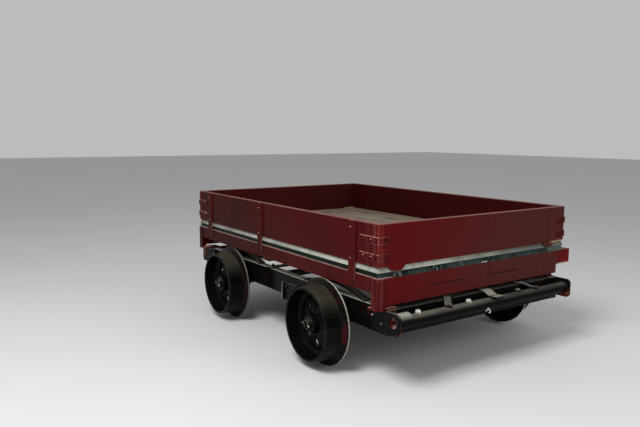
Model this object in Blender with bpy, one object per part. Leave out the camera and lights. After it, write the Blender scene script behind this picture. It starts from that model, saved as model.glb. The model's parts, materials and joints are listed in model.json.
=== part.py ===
# Platelayer's hand trolley for standard gauge railway track.
# A steel underframe on two wheelsets carries an open timber body with removable boards.
# Metres, +Z up. +X runs along the track, and the origin is midway between the axles
# at the level of the wheel flanges' lowest points.

import math

import bmesh
import bpy
from mathutils import Matrix, Vector

GAP = 0.0003                 # joint gap between touching pieces
WELD = 0.003                 # how far a hidden root reaches into each of the two pieces that it joins
PASS = 0.010                 # how far a cutter stands out of what it cuts

# Wheels and axles
WHEELBASE = 1.044
BACK_TO_BACK = 1.360         # between the backs of a wheelset's two flanges
FLANGE_R = 0.232
FLANGE_H = 0.035             # flange above the tread
FLANGE_W = 0.030             # along the axle, with its root
FLANGE_TIP_R = 0.009
TREAD_TAPER = 0.004          # radius that the tread loses towards its outer face
WHEEL_W = 0.122
RIM_T = 0.012                # rim wall at the outer face
RIM_EDGE = 0.003
WEB_T = 0.013
WEB_SET = 0.030              # web's back where it meets the rim, from the flange's back
WEB_CONE = 0.014             # how much further out the web is at the hub
WEB_RIM_T = 0.030            # from the tread down to where the web starts
WAVES = 8                    # waves pressed into the web, with a hole in each trough
WAVE_H = 0.006
WEB_HOLE_R = 0.020
HUB_R = 0.050
HUB_FACE = 0.096             # hub face, from the flange's back
HUB_STEP = 0.004
AXLE_R = 0.024
AXLE_STUB = 0.016            # axle end beyond the hub
BEARING_PLAY = 0.0008
WHEEL_STEPS = 6 * WAVES
HOLE_STEPS = 12
AXLE_STEPS = 24

# Side frames: steel channels with the flanges turned inwards
FRAME_TO_WHEEL = 0.042       # web's outer face to the wheel's back
FRAME_LIFT = 0.036           # channel's underside above the middle of the axle
FRAME_H = 0.122
FRAME_FLANGE = 0.055
FRAME_WEB_T = 0.008
FRAME_FLANGE_T = 0.009
FLANGE_TAPER = 0.002         # half of the flange's change of thickness over its width
FRAME_OVERHANG = 0.462       # channel's end beyond the axle

# End tubes, end plates and drawgear
TUBE_AHEAD = 0.042           # tube's middle beyond the channel's end
TUBE_DROP = 0.0515           # tube's middle under the channel's top
TUBE_R = 0.030
TUBE_T = 0.005
TUBE_STEPS = 28
SLEEVE_R = 0.0385            # sleeve on the tube's left end
SLEEVE_L = 0.080
SLEEVE_LIFT = 0.006          # sleeve's middle above the tube's
PLATE_T = 0.012
PLATE_LAP = 0.114            # length of the plate that lies on the channel
PLATE_AHEAD = 0.042          # plate's tip beyond the tube's middle
PLATE_H = 0.104
PLATE_DROP = 0.002           # plate's top under the channel's top
PLATE_CORNER_R = 0.022
PLATE_HOLE_R = 0.025
PLATE_STEPS = 5              # facets of a rounded corner
HEADSTOCK_SETBACK = 0.002    # cross channel's web behind the channel's end
HEADSTOCK_DROP = 0.0007      # its top under the channel's top
HEADSTOCK_D = 0.050
HEADSTOCK_T = 0.007
STRAP_T = 0.009
STRAP_IN = 0.040             # drawbar and stays lie on the cross channel, this far in from its web
STRAP_BEND = 0.004           # they bend down behind its web
STRAP_LEVEL = 0.010          # and lie level from behind the tube's middle
DRAWBAR_Y = 0.040
DRAWBAR_W = 0.064
DRAWBAR_AHEAD = 0.044        # drawbar's tip beyond the tube's middle
STAY_W = 0.034
STAY_ROOT_Y = 0.262          # stays' middles, from the drawbar's middle
STAY_TIP_Y = 0.345
STAY_AHEAD = 0.014

# Axle bearings, springs, tie and hangers
BEARING_W = 0.056
BEARING_SETBACK = 0.002      # bearing's outer face behind the channel's web
BEARING_FOOT_X = 0.085
BEARING_FOOT_T = 0.012
BEARING_R = 0.050
BEARING_STEPS = 12
SPRING_HALF_L = 0.265
SPRING_RISE = 0.041
SPRING_T = 0.008
SPRING_W = 0.044
SPRING_SETBACK = 0.005
SPRING_STEPS = 14
TIE_X = -0.126
TIE_W = 0.050
TIE_T = 0.008
HANGER_X = 0.063             # rear edge, where the plate is folded outwards
HANGER_L = 0.137
HANGER_H = 0.103
HANGER_DROP = 0.026          # hanger's lower edge under the channel
HANGER_T = 0.010
HANGER_FOLD = 0.022

# Body
OVERHANG_FRONT = 0.448       # body's end beyond the front axle
OVERHANG_REAR = 0.483
OVERHANG_SIDE = 0.059        # body's side beyond the channel's web
DECK_LIFT = 0.205            # deck above the channels
RAIL_H = 0.053
RAIL_T = 0.030
RAIL_SLOPE_H = 0.025
RAIL_SLOPE_D = 0.009
RAIL_LIP = 0.006             # lower lip of the rail, under its sunk face
RAIL_SINK = 0.004
FLOOR_T = 0.028
FLOOR_PLANKS = 8
FLOOR_GROOVE = 0.003
BOARD_T = 0.025
BOARD_H = 0.202
BOARD_EDGE = 0.003           # worn top edge
WHEEL_CLEARANCE = 0.006      # side skirt over the flanges
END_SKIRT_H = 0.1307
SKIRT_T = 0.022
SLOT_LIFT = 0.059            # slots in the end skirt, above its lower edge
SLOT_H = 0.005
SLOT_L = 0.240
SLOT_YS = (-0.243, 0.172)
BEARER_W = 0.070
BEARER_SETBACK = 0.015       # bearer's end behind the side skirt
BLOCK_D = 0.066              # block at the far front corner
BLOCK_IN = 0.052             # its inner end, from the body's side
BLOCK_OUT = 0.069
BLOCK_DROP = 0.009           # its lower edge under the side skirt's

# Side boards: seams, irons and corner bands
CORNER_FRONT_L = 0.166
CORNER_REAR_L = 0.205
MID_SEAM_X = -0.100
SEAM = 0.003
IRON_W = 0.049
IRON_T = 0.008
IRON_H = 0.291
BAND_H = 0.035
BAND_TOP_DROP = 0.060        # upper band, under the board's top
BAND_LOW_LIFT = 0.027        # lower band, above the deck
BAND_T = 0.004
BAND_SIDE_L = 0.134
BAND_END_L = 0.062
TONGUE_INSETS = (0.111, 0.138)   # tongues' middles from the body's left and right sides
TONGUE_TOP_W = 0.106
TONGUE_BOTTOM_W = 0.062
TONGUE_DROP = 0.022
TONGUE_LAP = 0.012
TONGUE_T = 0.004

# Corner feet
FOOT_T = 0.008
FOOT_L = 0.070
FOOT_LEG = 0.042
ANGLE_T = 0.004

# Places that follow from the sizes
FLANGE_BACK_Y = BACK_TO_BACK / 2
TREAD_R = FLANGE_R - FLANGE_H
RIM_R = TREAD_R - TREAD_TAPER
AXLE_Z = FLANGE_R
AXLE_X = WHEELBASE / 2
AXLE_END_Y = FLANGE_BACK_Y + HUB_FACE + AXLE_STUB
FRAME_WEB_Y = FLANGE_BACK_Y - FRAME_TO_WHEEL
FRAME_IN_Y = FRAME_WEB_Y - FRAME_FLANGE
FRAME_BOTTOM = AXLE_Z + FRAME_LIFT
FRAME_TOP = FRAME_BOTTOM + FRAME_H
FRAME_END_X = AXLE_X + FRAME_OVERHANG
SEAT_Z = FRAME_TOP + GAP
TUBE_X = FRAME_END_X + TUBE_AHEAD
TUBE_Z = FRAME_TOP - TUBE_DROP
SLEEVE_Z = TUBE_Z + SLEEVE_LIFT
HEADSTOCK_X = FRAME_END_X - HEADSTOCK_SETBACK
HEADSTOCK_TOP = FRAME_TOP - HEADSTOCK_DROP
BODY_FRONT_X = AXLE_X + OVERHANG_FRONT
BODY_REAR_X = -AXLE_X - OVERHANG_REAR
BODY_SIDE_Y = FRAME_WEB_Y + OVERHANG_SIDE
DECK_TOP = FRAME_TOP + DECK_LIFT
RAIL_BOTTOM = DECK_TOP - RAIL_H
SKIRT_TOP = RAIL_BOTTOM - GAP
SIDE_SKIRT_BOTTOM = 2 * FLANGE_R + WHEEL_CLEARANCE
END_SKIRT_BOTTOM = SKIRT_TOP - END_SKIRT_H
BOARD_BOTTOM = DECK_TOP + GAP
BOARD_TOP = DECK_TOP + BOARD_H
BEARER_BOTTOM = SEAT_Z + SPRING_RISE + SPRING_T + GAP
BEARER_TOP = DECK_TOP - FLOOR_T - GAP
BLOCK_IN_Y = BODY_SIDE_Y - BLOCK_IN
SIDES = (("left", -1), ("right", 1))
ENDS = (("front", 1, BODY_FRONT_X), ("rear", -1, BODY_REAR_X))


def make_material(name, color, roughness, metallic):
    material = bpy.data.materials.new(name)
    material.use_nodes = True
    shader = material.node_tree.nodes["Principled BSDF"]
    shader.inputs["Base Color"].default_value = (*color, 1.0)
    shader.inputs["Roughness"].default_value = roughness
    shader.inputs["Metallic"].default_value = metallic
    return material


def add_object(name, bm, material):
    """Turn a bmesh into an object of the scene, its faces pointing out."""
    bmesh.ops.recalc_face_normals(bm, faces=bm.faces)
    mesh = bpy.data.meshes.new(name)
    bm.to_mesh(mesh)
    bm.free()
    mesh.materials.append(material)
    obj = bpy.data.objects.new(name, mesh)
    bpy.context.collection.objects.link(obj)
    return obj


def prism(name, outline, axis, span, material):
    """Extrude a closed outline along X, Y or Z. The outline gives the other two coordinates."""
    place = {
        "X": lambda a, b, t: (t, a, b),
        "Y": lambda a, b, t: (a, t, b),
        "Z": lambda a, b, t: (a, b, t),
    }[axis]
    low, high = min(span), max(span)
    bm = bmesh.new()
    face = bm.faces.new([bm.verts.new(place(a, b, low)) for a, b in outline])
    grown = bmesh.ops.extrude_face_region(bm, geom=[face])
    moved = [v for v in grown["geom"] if isinstance(v, bmesh.types.BMVert)]
    bmesh.ops.translate(bm, verts=moved, vec=Vector(place(0, 0, high - low)))
    return add_object(name, bm, material)


def block(name, x, y, z, material):
    """A box between two values on each axis, in either order."""
    outline = [(x[0], y[0]), (x[1], y[0]), (x[1], y[1]), (x[0], y[1])]
    return prism(name, outline, "Z", z, material)


def round_top(obj, width):
    """Bevel the edges round an object's top face, as wear and a plane leave them on a board."""
    bm = bmesh.new()
    bm.from_mesh(obj.data)
    top = max(v.co.z for v in bm.verts)
    edges = [e for e in bm.edges if all(top - v.co.z < width for v in e.verts)]
    bmesh.ops.bevel(bm, geom=edges, offset=width, segments=1, affect="EDGES")
    bm.to_mesh(obj.data)
    bm.free()
    return obj


def arc(cx, cy, radius, start, end, steps):
    """Points of an arc, angles in degrees."""
    points = []
    for i in range(steps + 1):
        a = math.radians(start + (end - start) * i / steps)
        points.append((cx + radius * math.cos(a), cy + radius * math.sin(a)))
    return points


def cylinder(name, radius, center, length, steps, material):
    """A round bar along Y, centred on center."""
    bm = bmesh.new()
    bmesh.ops.create_cone(bm, cap_ends=True, segments=steps, radius1=radius, radius2=radius, depth=length)
    turn = Matrix.Rotation(math.pi / 2, 4, "X")
    bmesh.ops.transform(bm, matrix=Matrix.Translation(center) @ turn, verts=bm.verts)
    return add_object(name, bm, material)


def strap(name, path, width, material):
    """A flat that follows the middle line of its underside. It is bent on edges across the line."""
    run = path[-1] - path[0]
    across = Vector((-run.y, run.x, 0)).normalized() * (width / 2)
    rise = Vector((0, 0, STRAP_T))
    bm = bmesh.new()
    rings = [
        [bm.verts.new(p) for p in (low - across, low + across, low + across + rise, low - across + rise)]
        for low in path
    ]
    bm.faces.new(rings[0])
    bm.faces.new(rings[-1])
    for ring, after in zip(rings, rings[1:]):
        for i in range(4):
            j = (i + 1) % 4
            bm.faces.new((ring[i], ring[j], after[j], after[i]))
    return add_object(name, bm, material)


def use_boolean(target, tool, operation):
    """Keep a Boolean on the target and hide the tool from the model."""
    modifier = target.modifiers.new(tool.name, "BOOLEAN")
    modifier.operation = operation
    modifier.object = tool
    modifier.solver = "EXACT"
    tool.hide_render = True
    tool.display_type = "WIRE"


def join(target, *tools):
    for tool in tools:
        use_boolean(target, tool, "UNION")


def cut(target, *tools):
    for tool in tools:
        use_boolean(target, tool, "DIFFERENCE")


def smooth(obj, angle=35):
    obj.data.shade_smooth()
    obj.data.set_sharp_from_angle(angle=math.radians(angle))


def mirrored(outline, sign):
    """The outline with its first coordinate mirrored when sign is negative."""
    return [(a * sign, b) for a, b in outline]


def wheel_section():
    """Half section of a wheel: radius, distance out from the flange's back, share of the web's waves."""
    web_out_r = TREAD_R - WEB_RIM_T
    web_mid_r = (web_out_r + HUB_R) / 2
    web_mid = WEB_SET + WEB_CONE / 2
    web_in = WEB_SET + WEB_CONE
    bore_r = AXLE_R + GAP
    tip_r = FLANGE_R - FLANGE_TIP_R
    rim = [
        (RIM_R - RIM_T, WHEEL_W, 0),
        (RIM_R - RIM_EDGE, WHEEL_W, 0),
        (RIM_R, WHEEL_W - RIM_EDGE, 0),
        (TREAD_R, FLANGE_W + RIM_T, 0),
        (TREAD_R + RIM_EDGE, FLANGE_W, 0),
    ]
    tip = [(r, s, 0) for r, s in arc(tip_r, FLANGE_TIP_R, FLANGE_TIP_R, 45, -90, 3)]
    back = [
        (TREAD_R - WEB_T, 0.0, 0),
        (web_out_r, WEB_SET, 0),
        (web_mid_r, web_mid, 1),
        (HUB_R, web_in, 0),
        (HUB_R, 0.0, 0),
    ]
    front = [
        (bore_r, 0.0, 0),
        (bore_r, HUB_FACE, 0),
        (HUB_R - HUB_STEP, HUB_FACE, 0),
        (HUB_R + HUB_STEP, web_in + WEB_T, 0),
        (web_mid_r, web_mid + WEB_T, 1),
        (web_out_r - WEB_T, WEB_SET + WEB_T, 0),
        (web_out_r + RIM_EDGE, WEB_SET + 2 * WEB_T, 0),
    ]
    return rim + tip + back + front


def build_wheel(name, x, side, material):
    """One dished wheel. Its local Z axis is the axle, pointing out of the vehicle.

    The section is turned about the axle, and the web's middle ring moves in and out in waves,
    so that the web has pressed ribs with a hole in the trough between each two.
    """
    bm = bmesh.new()
    rings = []
    for i in range(WHEEL_STEPS):
        a = 2 * math.pi * i / WHEEL_STEPS
        wave = -WAVE_H * math.cos(WAVES * a)
        rings.append([bm.verts.new((r * math.cos(a), r * math.sin(a), s + wave * share))
                      for r, s, share in wheel_section()])
    for i, here in enumerate(rings):
        there = rings[(i + 1) % WHEEL_STEPS]
        for j in range(len(here)):
            k = (j + 1) % len(here)
            bm.faces.new((here[j], here[k], there[k], there[j]))
    wheel = add_object(name, bm, material)
    smooth(wheel)
    wheel.rotation_euler = (-math.pi / 2 * side, 0.0, 0.0)
    wheel.location = (x, side * FLANGE_BACK_Y, AXLE_Z)

    bm = bmesh.new()
    hole_circle = (TREAD_R - WEB_RIM_T + HUB_R) / 2
    for i in range(WAVES):
        a = 2 * math.pi * i / WAVES
        place = Matrix.Translation((hole_circle * math.cos(a), hole_circle * math.sin(a), WEB_SET + WEB_T))
        bmesh.ops.create_cone(bm, cap_ends=True, segments=HOLE_STEPS, radius1=WEB_HOLE_R, radius2=WEB_HOLE_R,
                              depth=4 * WEB_T, matrix=place)
    holes = add_object(name + "_holes", bm, material)
    holes.rotation_euler = wheel.rotation_euler
    holes.location = wheel.location
    cut(wheel, holes)


def build_wheelsets(steel, wheel_paint):
    for end, sx, _ in ENDS:
        x = sx * AXLE_X
        axle = cylinder("axle_" + end, AXLE_R, (x, 0, AXLE_Z), 2 * AXLE_END_Y, AXLE_STEPS, steel)
        smooth(axle)
        for side, sy in SIDES:
            build_wheel("wheel_" + end + "_" + side, x, sy, wheel_paint)


def frame_outline():
    """Section of a side channel, as distance out from the middle and height."""
    web = FRAME_WEB_Y - FRAME_WEB_T
    under_top = FRAME_TOP - FRAME_FLANGE_T
    over_bottom = FRAME_BOTTOM + FRAME_FLANGE_T
    return [
        (FRAME_WEB_Y, FRAME_BOTTOM),
        (FRAME_WEB_Y, FRAME_TOP),
        (FRAME_IN_Y, FRAME_TOP),
        (FRAME_IN_Y, under_top + FLANGE_TAPER),
        (web, under_top - FLANGE_TAPER),
        (web, over_bottom + FLANGE_TAPER),
        (FRAME_IN_Y, over_bottom - FLANGE_TAPER),
        (FRAME_IN_Y, FRAME_BOTTOM),
    ]


def build_side_frames(black):
    for side, sy in SIDES:
        prism("side_frame_" + side, mirrored(frame_outline(), sy), "X", (-FRAME_END_X, FRAME_END_X), black)


def plate_outline():
    """End plate, square at the channel and round beyond the tube."""
    r = PLATE_CORNER_R
    inner = FRAME_END_X - PLATE_LAP
    outer = TUBE_X + PLATE_AHEAD
    top = FRAME_TOP - PLATE_DROP
    bottom = top - PLATE_H
    return (
        arc(outer - r, bottom + r, r, -90, 0, PLATE_STEPS)
        + arc(outer - r, top - r, r, 0, 90, PLATE_STEPS)
        + [(inner, top), (inner, bottom)]
    )


def headstock_outline():
    """Section of a cross channel, open towards the middle of the trolley."""
    web = HEADSTOCK_X - HEADSTOCK_T
    tip = HEADSTOCK_X - HEADSTOCK_D
    return [
        (HEADSTOCK_X, FRAME_BOTTOM),
        (HEADSTOCK_X, HEADSTOCK_TOP),
        (tip, HEADSTOCK_TOP),
        (tip, HEADSTOCK_TOP - HEADSTOCK_T),
        (web, HEADSTOCK_TOP - HEADSTOCK_T),
        (web, FRAME_BOTTOM + HEADSTOCK_T),
        (tip, FRAME_BOTTOM + HEADSTOCK_T),
        (tip, FRAME_BOTTOM),
    ]


def build_end_tube(end, sx, black, worn):
    """The tube across the end with a sleeve on its left end, between two plates with a hole."""
    x = sx * TUBE_X
    length = 2 * FRAME_WEB_Y
    sleeve_y = SLEEVE_L / 2 - FRAME_WEB_Y
    tube = cylinder("end_tube_" + end, TUBE_R, (x, 0, TUBE_Z), length, TUBE_STEPS, worn)
    sleeve = cylinder("end_sleeve_" + end, SLEEVE_R, (x, sleeve_y, SLEEVE_Z), SLEEVE_L, TUBE_STEPS, worn)
    smooth(tube)
    smooth(sleeve)
    join(tube, sleeve)
    cut(tube, cylinder("end_tube_bore_" + end, TUBE_R - TUBE_T, (x, 0, TUBE_Z), length + PASS,
                       TUBE_STEPS, worn))
    for side, sy in SIDES:
        inner = sy * (FRAME_WEB_Y + GAP)
        span = (inner, inner + sy * PLATE_T)
        plate = prism("end_plate_" + end + "_" + side, mirrored(plate_outline(), sx), "Y", span, black)
        cut(plate, cylinder(plate.name + "_hole", PLATE_HOLE_R, (x, inner, SLEEVE_Z),
                            2 * (PLATE_T + PASS), 2 * HOLE_STEPS, black))


def strap_path(sx, root_y, tip_y, ahead):
    """Middle line under a flat that runs over the cross channel and bends down to the tube."""
    root_x = HEADSTOCK_X - STRAP_IN
    tip_x = TUBE_X + ahead
    high = HEADSTOCK_TOP - WELD
    low = TUBE_Z + TUBE_R + GAP
    bends = [(HEADSTOCK_X - STRAP_BEND, high), (TUBE_X - STRAP_LEVEL, low)]
    slope = (tip_y - root_y) / (tip_x - root_x)
    return [
        Vector((sx * x, root_y + slope * (x - root_x), z))
        for x, z in [(root_x, high)] + bends + [(tip_x, low)]
    ]


def build_headstock(end, sx, black):
    """A cross channel with the drawbar and two splayed stays, flats that reach out over the tube."""
    half = FRAME_IN_Y - GAP
    headstock = prism("headstock_" + end, mirrored(headstock_outline(), sx), "Y", (-half, half), black)
    path = strap_path(sx, DRAWBAR_Y, DRAWBAR_Y, DRAWBAR_AHEAD)
    join(headstock, strap("drawbar_" + end, path, DRAWBAR_W, black))
    for side, sy in SIDES:
        path = strap_path(sx, DRAWBAR_Y + sy * STAY_ROOT_Y, DRAWBAR_Y + sy * STAY_TIP_Y, STAY_AHEAD)
        join(headstock, strap("stay_" + end + "_" + side, path, STAY_W, black))


def bearing_outline():
    """Plain bearing under the channel: a bolted foot and a round body about the axle."""
    top = FRAME_BOTTOM - GAP
    shoulder = top - BEARING_FOOT_T
    return (
        [(-BEARING_FOOT_X, top), (-BEARING_FOOT_X, shoulder), (-BEARING_R, shoulder)]
        + arc(0, AXLE_Z, BEARING_R, 180, 360, BEARING_STEPS)
        + [(BEARING_R, shoulder), (BEARING_FOOT_X, shoulder), (BEARING_FOOT_X, top)]
    )


def spring_outline():
    """A bowed strap that lies on the side channel over an axle."""
    lower = []
    upper = []
    for i in range(SPRING_STEPS + 1):
        u = -1 + 2 * i / SPRING_STEPS
        z = SEAT_Z + SPRING_RISE * (1 - u * u)
        lower.append((u * SPRING_HALF_L, z))
        upper.append((u * SPRING_HALF_L, z + SPRING_T))
    return lower + upper[::-1]


def shifted(outline, x):
    return [(a + x, b) for a, b in outline]


def build_running_gear(black, cast):
    for end, sx, _ in ENDS:
        axle_x = sx * AXLE_X
        for side, sy in SIDES:
            outer = sy * (FRAME_WEB_Y - BEARING_SETBACK)
            bearing = prism("axle_bearing_" + end + "_" + side, shifted(bearing_outline(), axle_x), "Y",
                            (outer, outer - sy * BEARING_W), cast)
            cut(bearing, cylinder(bearing.name + "_bore", AXLE_R + BEARING_PLAY, (axle_x, outer, AXLE_Z),
                                  2 * (BEARING_W + PASS), AXLE_STEPS, cast))
            outer = sy * (FRAME_WEB_Y - SPRING_SETBACK)
            smooth(prism("spring_" + end + "_" + side, shifted(spring_outline(), axle_x), "Y",
                         (outer, outer - sy * SPRING_W), black))
    block("frame_tie", (TIE_X - TIE_W / 2, TIE_X + TIE_W / 2), (-FRAME_WEB_Y, FRAME_WEB_Y),
          (SEAT_Z, SEAT_Z + TIE_T), black)


def build_hangers(black):
    """Plates on the channels' webs, folded outwards at their rear edge."""
    bottom = FRAME_BOTTOM - HANGER_DROP
    for side, sy in SIDES:
        inner = sy * (FRAME_WEB_Y + GAP)
        outer = inner + sy * HANGER_T
        tip = inner + sy * HANGER_FOLD
        outline = [
            (HANGER_X, inner),
            (HANGER_X + HANGER_L, inner),
            (HANGER_X + HANGER_L, outer),
            (HANGER_X + HANGER_T, outer),
            (HANGER_X + HANGER_T, tip),
            (HANGER_X, tip),
        ]
        prism("hanger_" + side, outline, "Z", (bottom, bottom + HANGER_H), black)


def ring_frame(name, section, material):
    """Sweep a closed section, given as inset and height, round the body's outline."""
    bm = bmesh.new()
    corners = ((BODY_FRONT_X, 1, 1), (BODY_REAR_X, -1, 1), (BODY_REAR_X, -1, -1), (BODY_FRONT_X, 1, -1))
    loops = [[bm.verts.new((x - sx * inset, sy * (BODY_SIDE_Y - inset), z)) for inset, z in section]
             for x, sx, sy in corners]
    for c, here in enumerate(loops):
        there = loops[(c + 1) % len(loops)]
        for i in range(len(section)):
            j = (i + 1) % len(section)
            bm.faces.new((here[i], here[j], there[j], there[i]))
    return add_object(name, bm, material)


def floor_outline():
    """Planked floor: a V groove at each joint between planks."""
    half = BODY_SIDE_Y - RAIL_T - GAP
    bottom = DECK_TOP - FLOOR_T
    pitch = 2 * half / FLOOR_PLANKS
    g = FLOOR_GROOVE
    points = [(half, bottom), (half, DECK_TOP)]
    for i in range(1, FLOOR_PLANKS):
        y = half - i * pitch
        points += [(y + g, DECK_TOP), (y, DECK_TOP - g), (y - g, DECK_TOP)]
    return points + [(-half, DECK_TOP), (-half, bottom)]


def build_deck(rail_paint, wood):
    slope = DECK_TOP - RAIL_SLOPE_H
    ring_frame("deck_rail", [
        (0.0, RAIL_BOTTOM),
        (0.0, RAIL_BOTTOM + RAIL_LIP),
        (RAIL_SINK, RAIL_BOTTOM + RAIL_LIP + RAIL_SINK),
        (RAIL_SINK, slope - RAIL_SINK),
        (0.0, slope),
        (RAIL_SLOPE_D, DECK_TOP),
        (RAIL_T, DECK_TOP),
        (RAIL_T, RAIL_BOTTOM),
    ], rail_paint)
    inset = RAIL_T + GAP
    prism("floor", floor_outline(), "X", (BODY_REAR_X + inset, BODY_FRONT_X - inset), wood)
    half = BODY_SIDE_Y - SKIRT_T - BEARER_SETBACK
    for name, x in (("rear", -AXLE_X), ("mid", TIE_X), ("front", AXLE_X)):
        block("bearer_" + name, (x - BEARER_W / 2, x + BEARER_W / 2), (-half, half),
              (BEARER_BOTTOM, BEARER_TOP), wood)


def build_skirts(paint):
    """Deep boards under the deck rail, and the block at the far front corner."""
    rear = BODY_REAR_X + SKIRT_T + GAP
    inner_y = BODY_SIDE_Y - SKIRT_T
    block_x = BODY_FRONT_X - BLOCK_D
    z = (SIDE_SKIRT_BOTTOM, SKIRT_TOP)
    block("side_skirt_left", (rear, BODY_FRONT_X - SKIRT_T - GAP), (-BODY_SIDE_Y, -inner_y), z, paint)
    block("side_skirt_right", (rear, block_x - GAP), (inner_y, BODY_SIDE_Y), z, paint)
    block("corner_block", (block_x, BODY_FRONT_X), (BLOCK_IN_Y + GAP, BODY_SIDE_Y + BLOCK_OUT),
          (SIDE_SKIRT_BOTTOM - BLOCK_DROP, SKIRT_TOP), paint)
    slot_z = END_SKIRT_BOTTOM + SLOT_LIFT
    for end, sx, edge in ENDS:
        far = BLOCK_IN_Y if end == "front" else BODY_SIDE_Y
        skirt = block("end_skirt_" + end, (edge, edge - sx * SKIRT_T), (-BODY_SIDE_Y, far),
                      (END_SKIRT_BOTTOM, SKIRT_TOP), paint)
        for i, y in enumerate(SLOT_YS):
            cut(skirt, block(skirt.name + "_slot" + str(i), (edge + sx * PASS, edge - sx * (SKIRT_T + PASS)),
                             (y - SLOT_L / 2, y + SLOT_L / 2), (slot_z, slot_z + SLOT_H), paint))


def build_corner_feet(iron):
    """Angles round the body's corners, each with a foot that stands on the side channel."""
    for end, sx, edge in ENDS:
        for side, sy in SIDES:
            name = "corner_foot_" + end + "_" + side
            if (end, side) == ("front", "right"):
                build_inner_foot(name, sx, sy, edge, iron)
                continue
            in_x = edge + sx * GAP
            out_x = in_x + sx * ANGLE_T
            in_y = sy * (BODY_SIDE_Y + GAP)
            out_y = in_y + sy * ANGLE_T
            leg_x = edge - sx * FOOT_LEG
            leg_y = sy * (BODY_SIDE_Y - FOOT_LEG)
            angle = [(out_x, out_y), (out_x, leg_y), (in_x, leg_y),
                     (in_x, in_y), (leg_x, in_y), (leg_x, out_y)]
            leg = prism(name, angle, "Z", (SEAT_Z, SKIRT_TOP), iron)
            join(leg, block(name + "_plate", (edge - sx * FOOT_L, in_x + sx * WELD),
                            (sy * FRAME_IN_Y, in_y + sy * WELD), (SEAT_Z, SEAT_Z + FOOT_T), iron))


def build_inner_foot(name, sx, sy, edge, iron):
    """The foot beside the corner block, where the angle stands behind the end skirt."""
    face = edge - sx * (SKIRT_T + GAP)
    y = (sy * FRAME_IN_Y, sy * FRAME_WEB_Y)
    foot = block(name, (edge - sx * FOOT_L, face), y, (SEAT_Z, SEAT_Z + FOOT_T), iron)
    join(foot, block(name + "_leg", (face, face - sx * FOOT_T), y, (SEAT_Z, SKIRT_TOP), iron))


def build_end_boards(paint):
    """End boards, each with two tongues that drop over the deck rail's face."""
    lap = DECK_TOP + TONGUE_LAP
    low = DECK_TOP - TONGUE_DROP
    for end, sx, edge in ENDS:
        board = block("end_board_" + end, (edge, edge - sx * BOARD_T), (-BODY_SIDE_Y, BODY_SIDE_Y),
                      (BOARD_BOTTOM, BOARD_TOP), paint)
        round_top(board, BOARD_EDGE)
        back = edge + sx * GAP
        for (side, sy), inset in zip(SIDES, TONGUE_INSETS):
            y = sy * (BODY_SIDE_Y - inset)
            top = TONGUE_TOP_W / 2
            bottom = TONGUE_BOTTOM_W / 2
            outline = [(y - top, lap), (y - top, DECK_TOP), (y - bottom, low),
                       (y + bottom, low), (y + top, DECK_TOP), (y + top, lap)]
            tongue = prism("tongue_" + end + "_" + side, outline, "X", (back, back + sx * TONGUE_T), paint)
            root = block(tongue.name + "_root", (edge - sx * WELD, back + sx * WELD),
                         (y - top + WELD, y + top - WELD), (DECK_TOP + WELD, lap - WELD), paint)
            join(board, tongue, root)


def add_iron(board, x, sy, paint):
    """The iron that covers a seam: it hangs from the board's face over the rail and the skirt."""
    outer = sy * BODY_SIDE_Y
    back = outer + sy * GAP
    top = BOARD_TOP - BOARD_EDGE
    iron = block(board.name + "_iron", (x - IRON_W, x), (back, back + sy * IRON_T),
                 (top - IRON_H, top), paint)
    root = block(board.name + "_root", (x - IRON_W + WELD, x - WELD), (outer - sy * WELD, back + sy * WELD),
                 (BOARD_BOTTOM + WELD, top - WELD), paint)
    join(board, iron, root)


def add_bands(board, sx, sy, edge, paint):
    """Two iron bands that hold a corner board and wrap round the end board's edge."""
    outer = sy * BODY_SIDE_Y
    face_y = outer + sy * GAP
    out_y = face_y + sy * BAND_T
    face_x = edge + sx * GAP
    out_x = face_x + sx * BAND_T
    reach = edge - sx * BAND_SIDE_L
    turn = outer - sy * BAND_END_L
    board_x = edge - sx * (BOARD_T + 2 * GAP)
    root_y = outer - sy * WELD
    outline = [(reach, out_y), (out_x, out_y), (out_x, turn), (face_x, turn), (face_x, face_y),
               (board_x, face_y), (board_x, root_y), (reach, root_y)]
    tops = (BOARD_TOP - BAND_TOP_DROP, DECK_TOP + BAND_LOW_LIFT + BAND_H)
    for i, top in enumerate(tops):
        join(board, prism(board.name + "_band" + str(i), outline, "Z", (top - BAND_H, top), paint))


def build_side_boards(paint):
    front_seam = BODY_FRONT_X - CORNER_FRONT_L
    rear_seam = BODY_REAR_X + CORNER_REAR_L
    front = BODY_FRONT_X - BOARD_T - GAP
    rear = BODY_REAR_X + BOARD_T + GAP
    # name, rear end, front end, has an iron, end whose corner it makes
    pieces = (
        ("corner_board_front_", front_seam + SEAM, front, False, ENDS[0]),
        ("side_board_long_", MID_SEAM_X + SEAM, front_seam, True, None),
        ("side_board_short_", rear_seam + SEAM, MID_SEAM_X, True, None),
        ("corner_board_rear_", rear, rear_seam, True, ENDS[1]),
    )
    for side, sy in SIDES:
        y = (sy * BODY_SIDE_Y, sy * (BODY_SIDE_Y - BOARD_T))
        for name, low, high, has_iron, corner in pieces:
            board = block(name + side, (low, high), y, (BOARD_BOTTOM, BOARD_TOP), paint)
            round_top(board, BOARD_EDGE)
            if has_iron:
                add_iron(board, high, sy, paint)
            if corner:
                add_bands(board, corner[1], sy, corner[2], paint)


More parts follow.
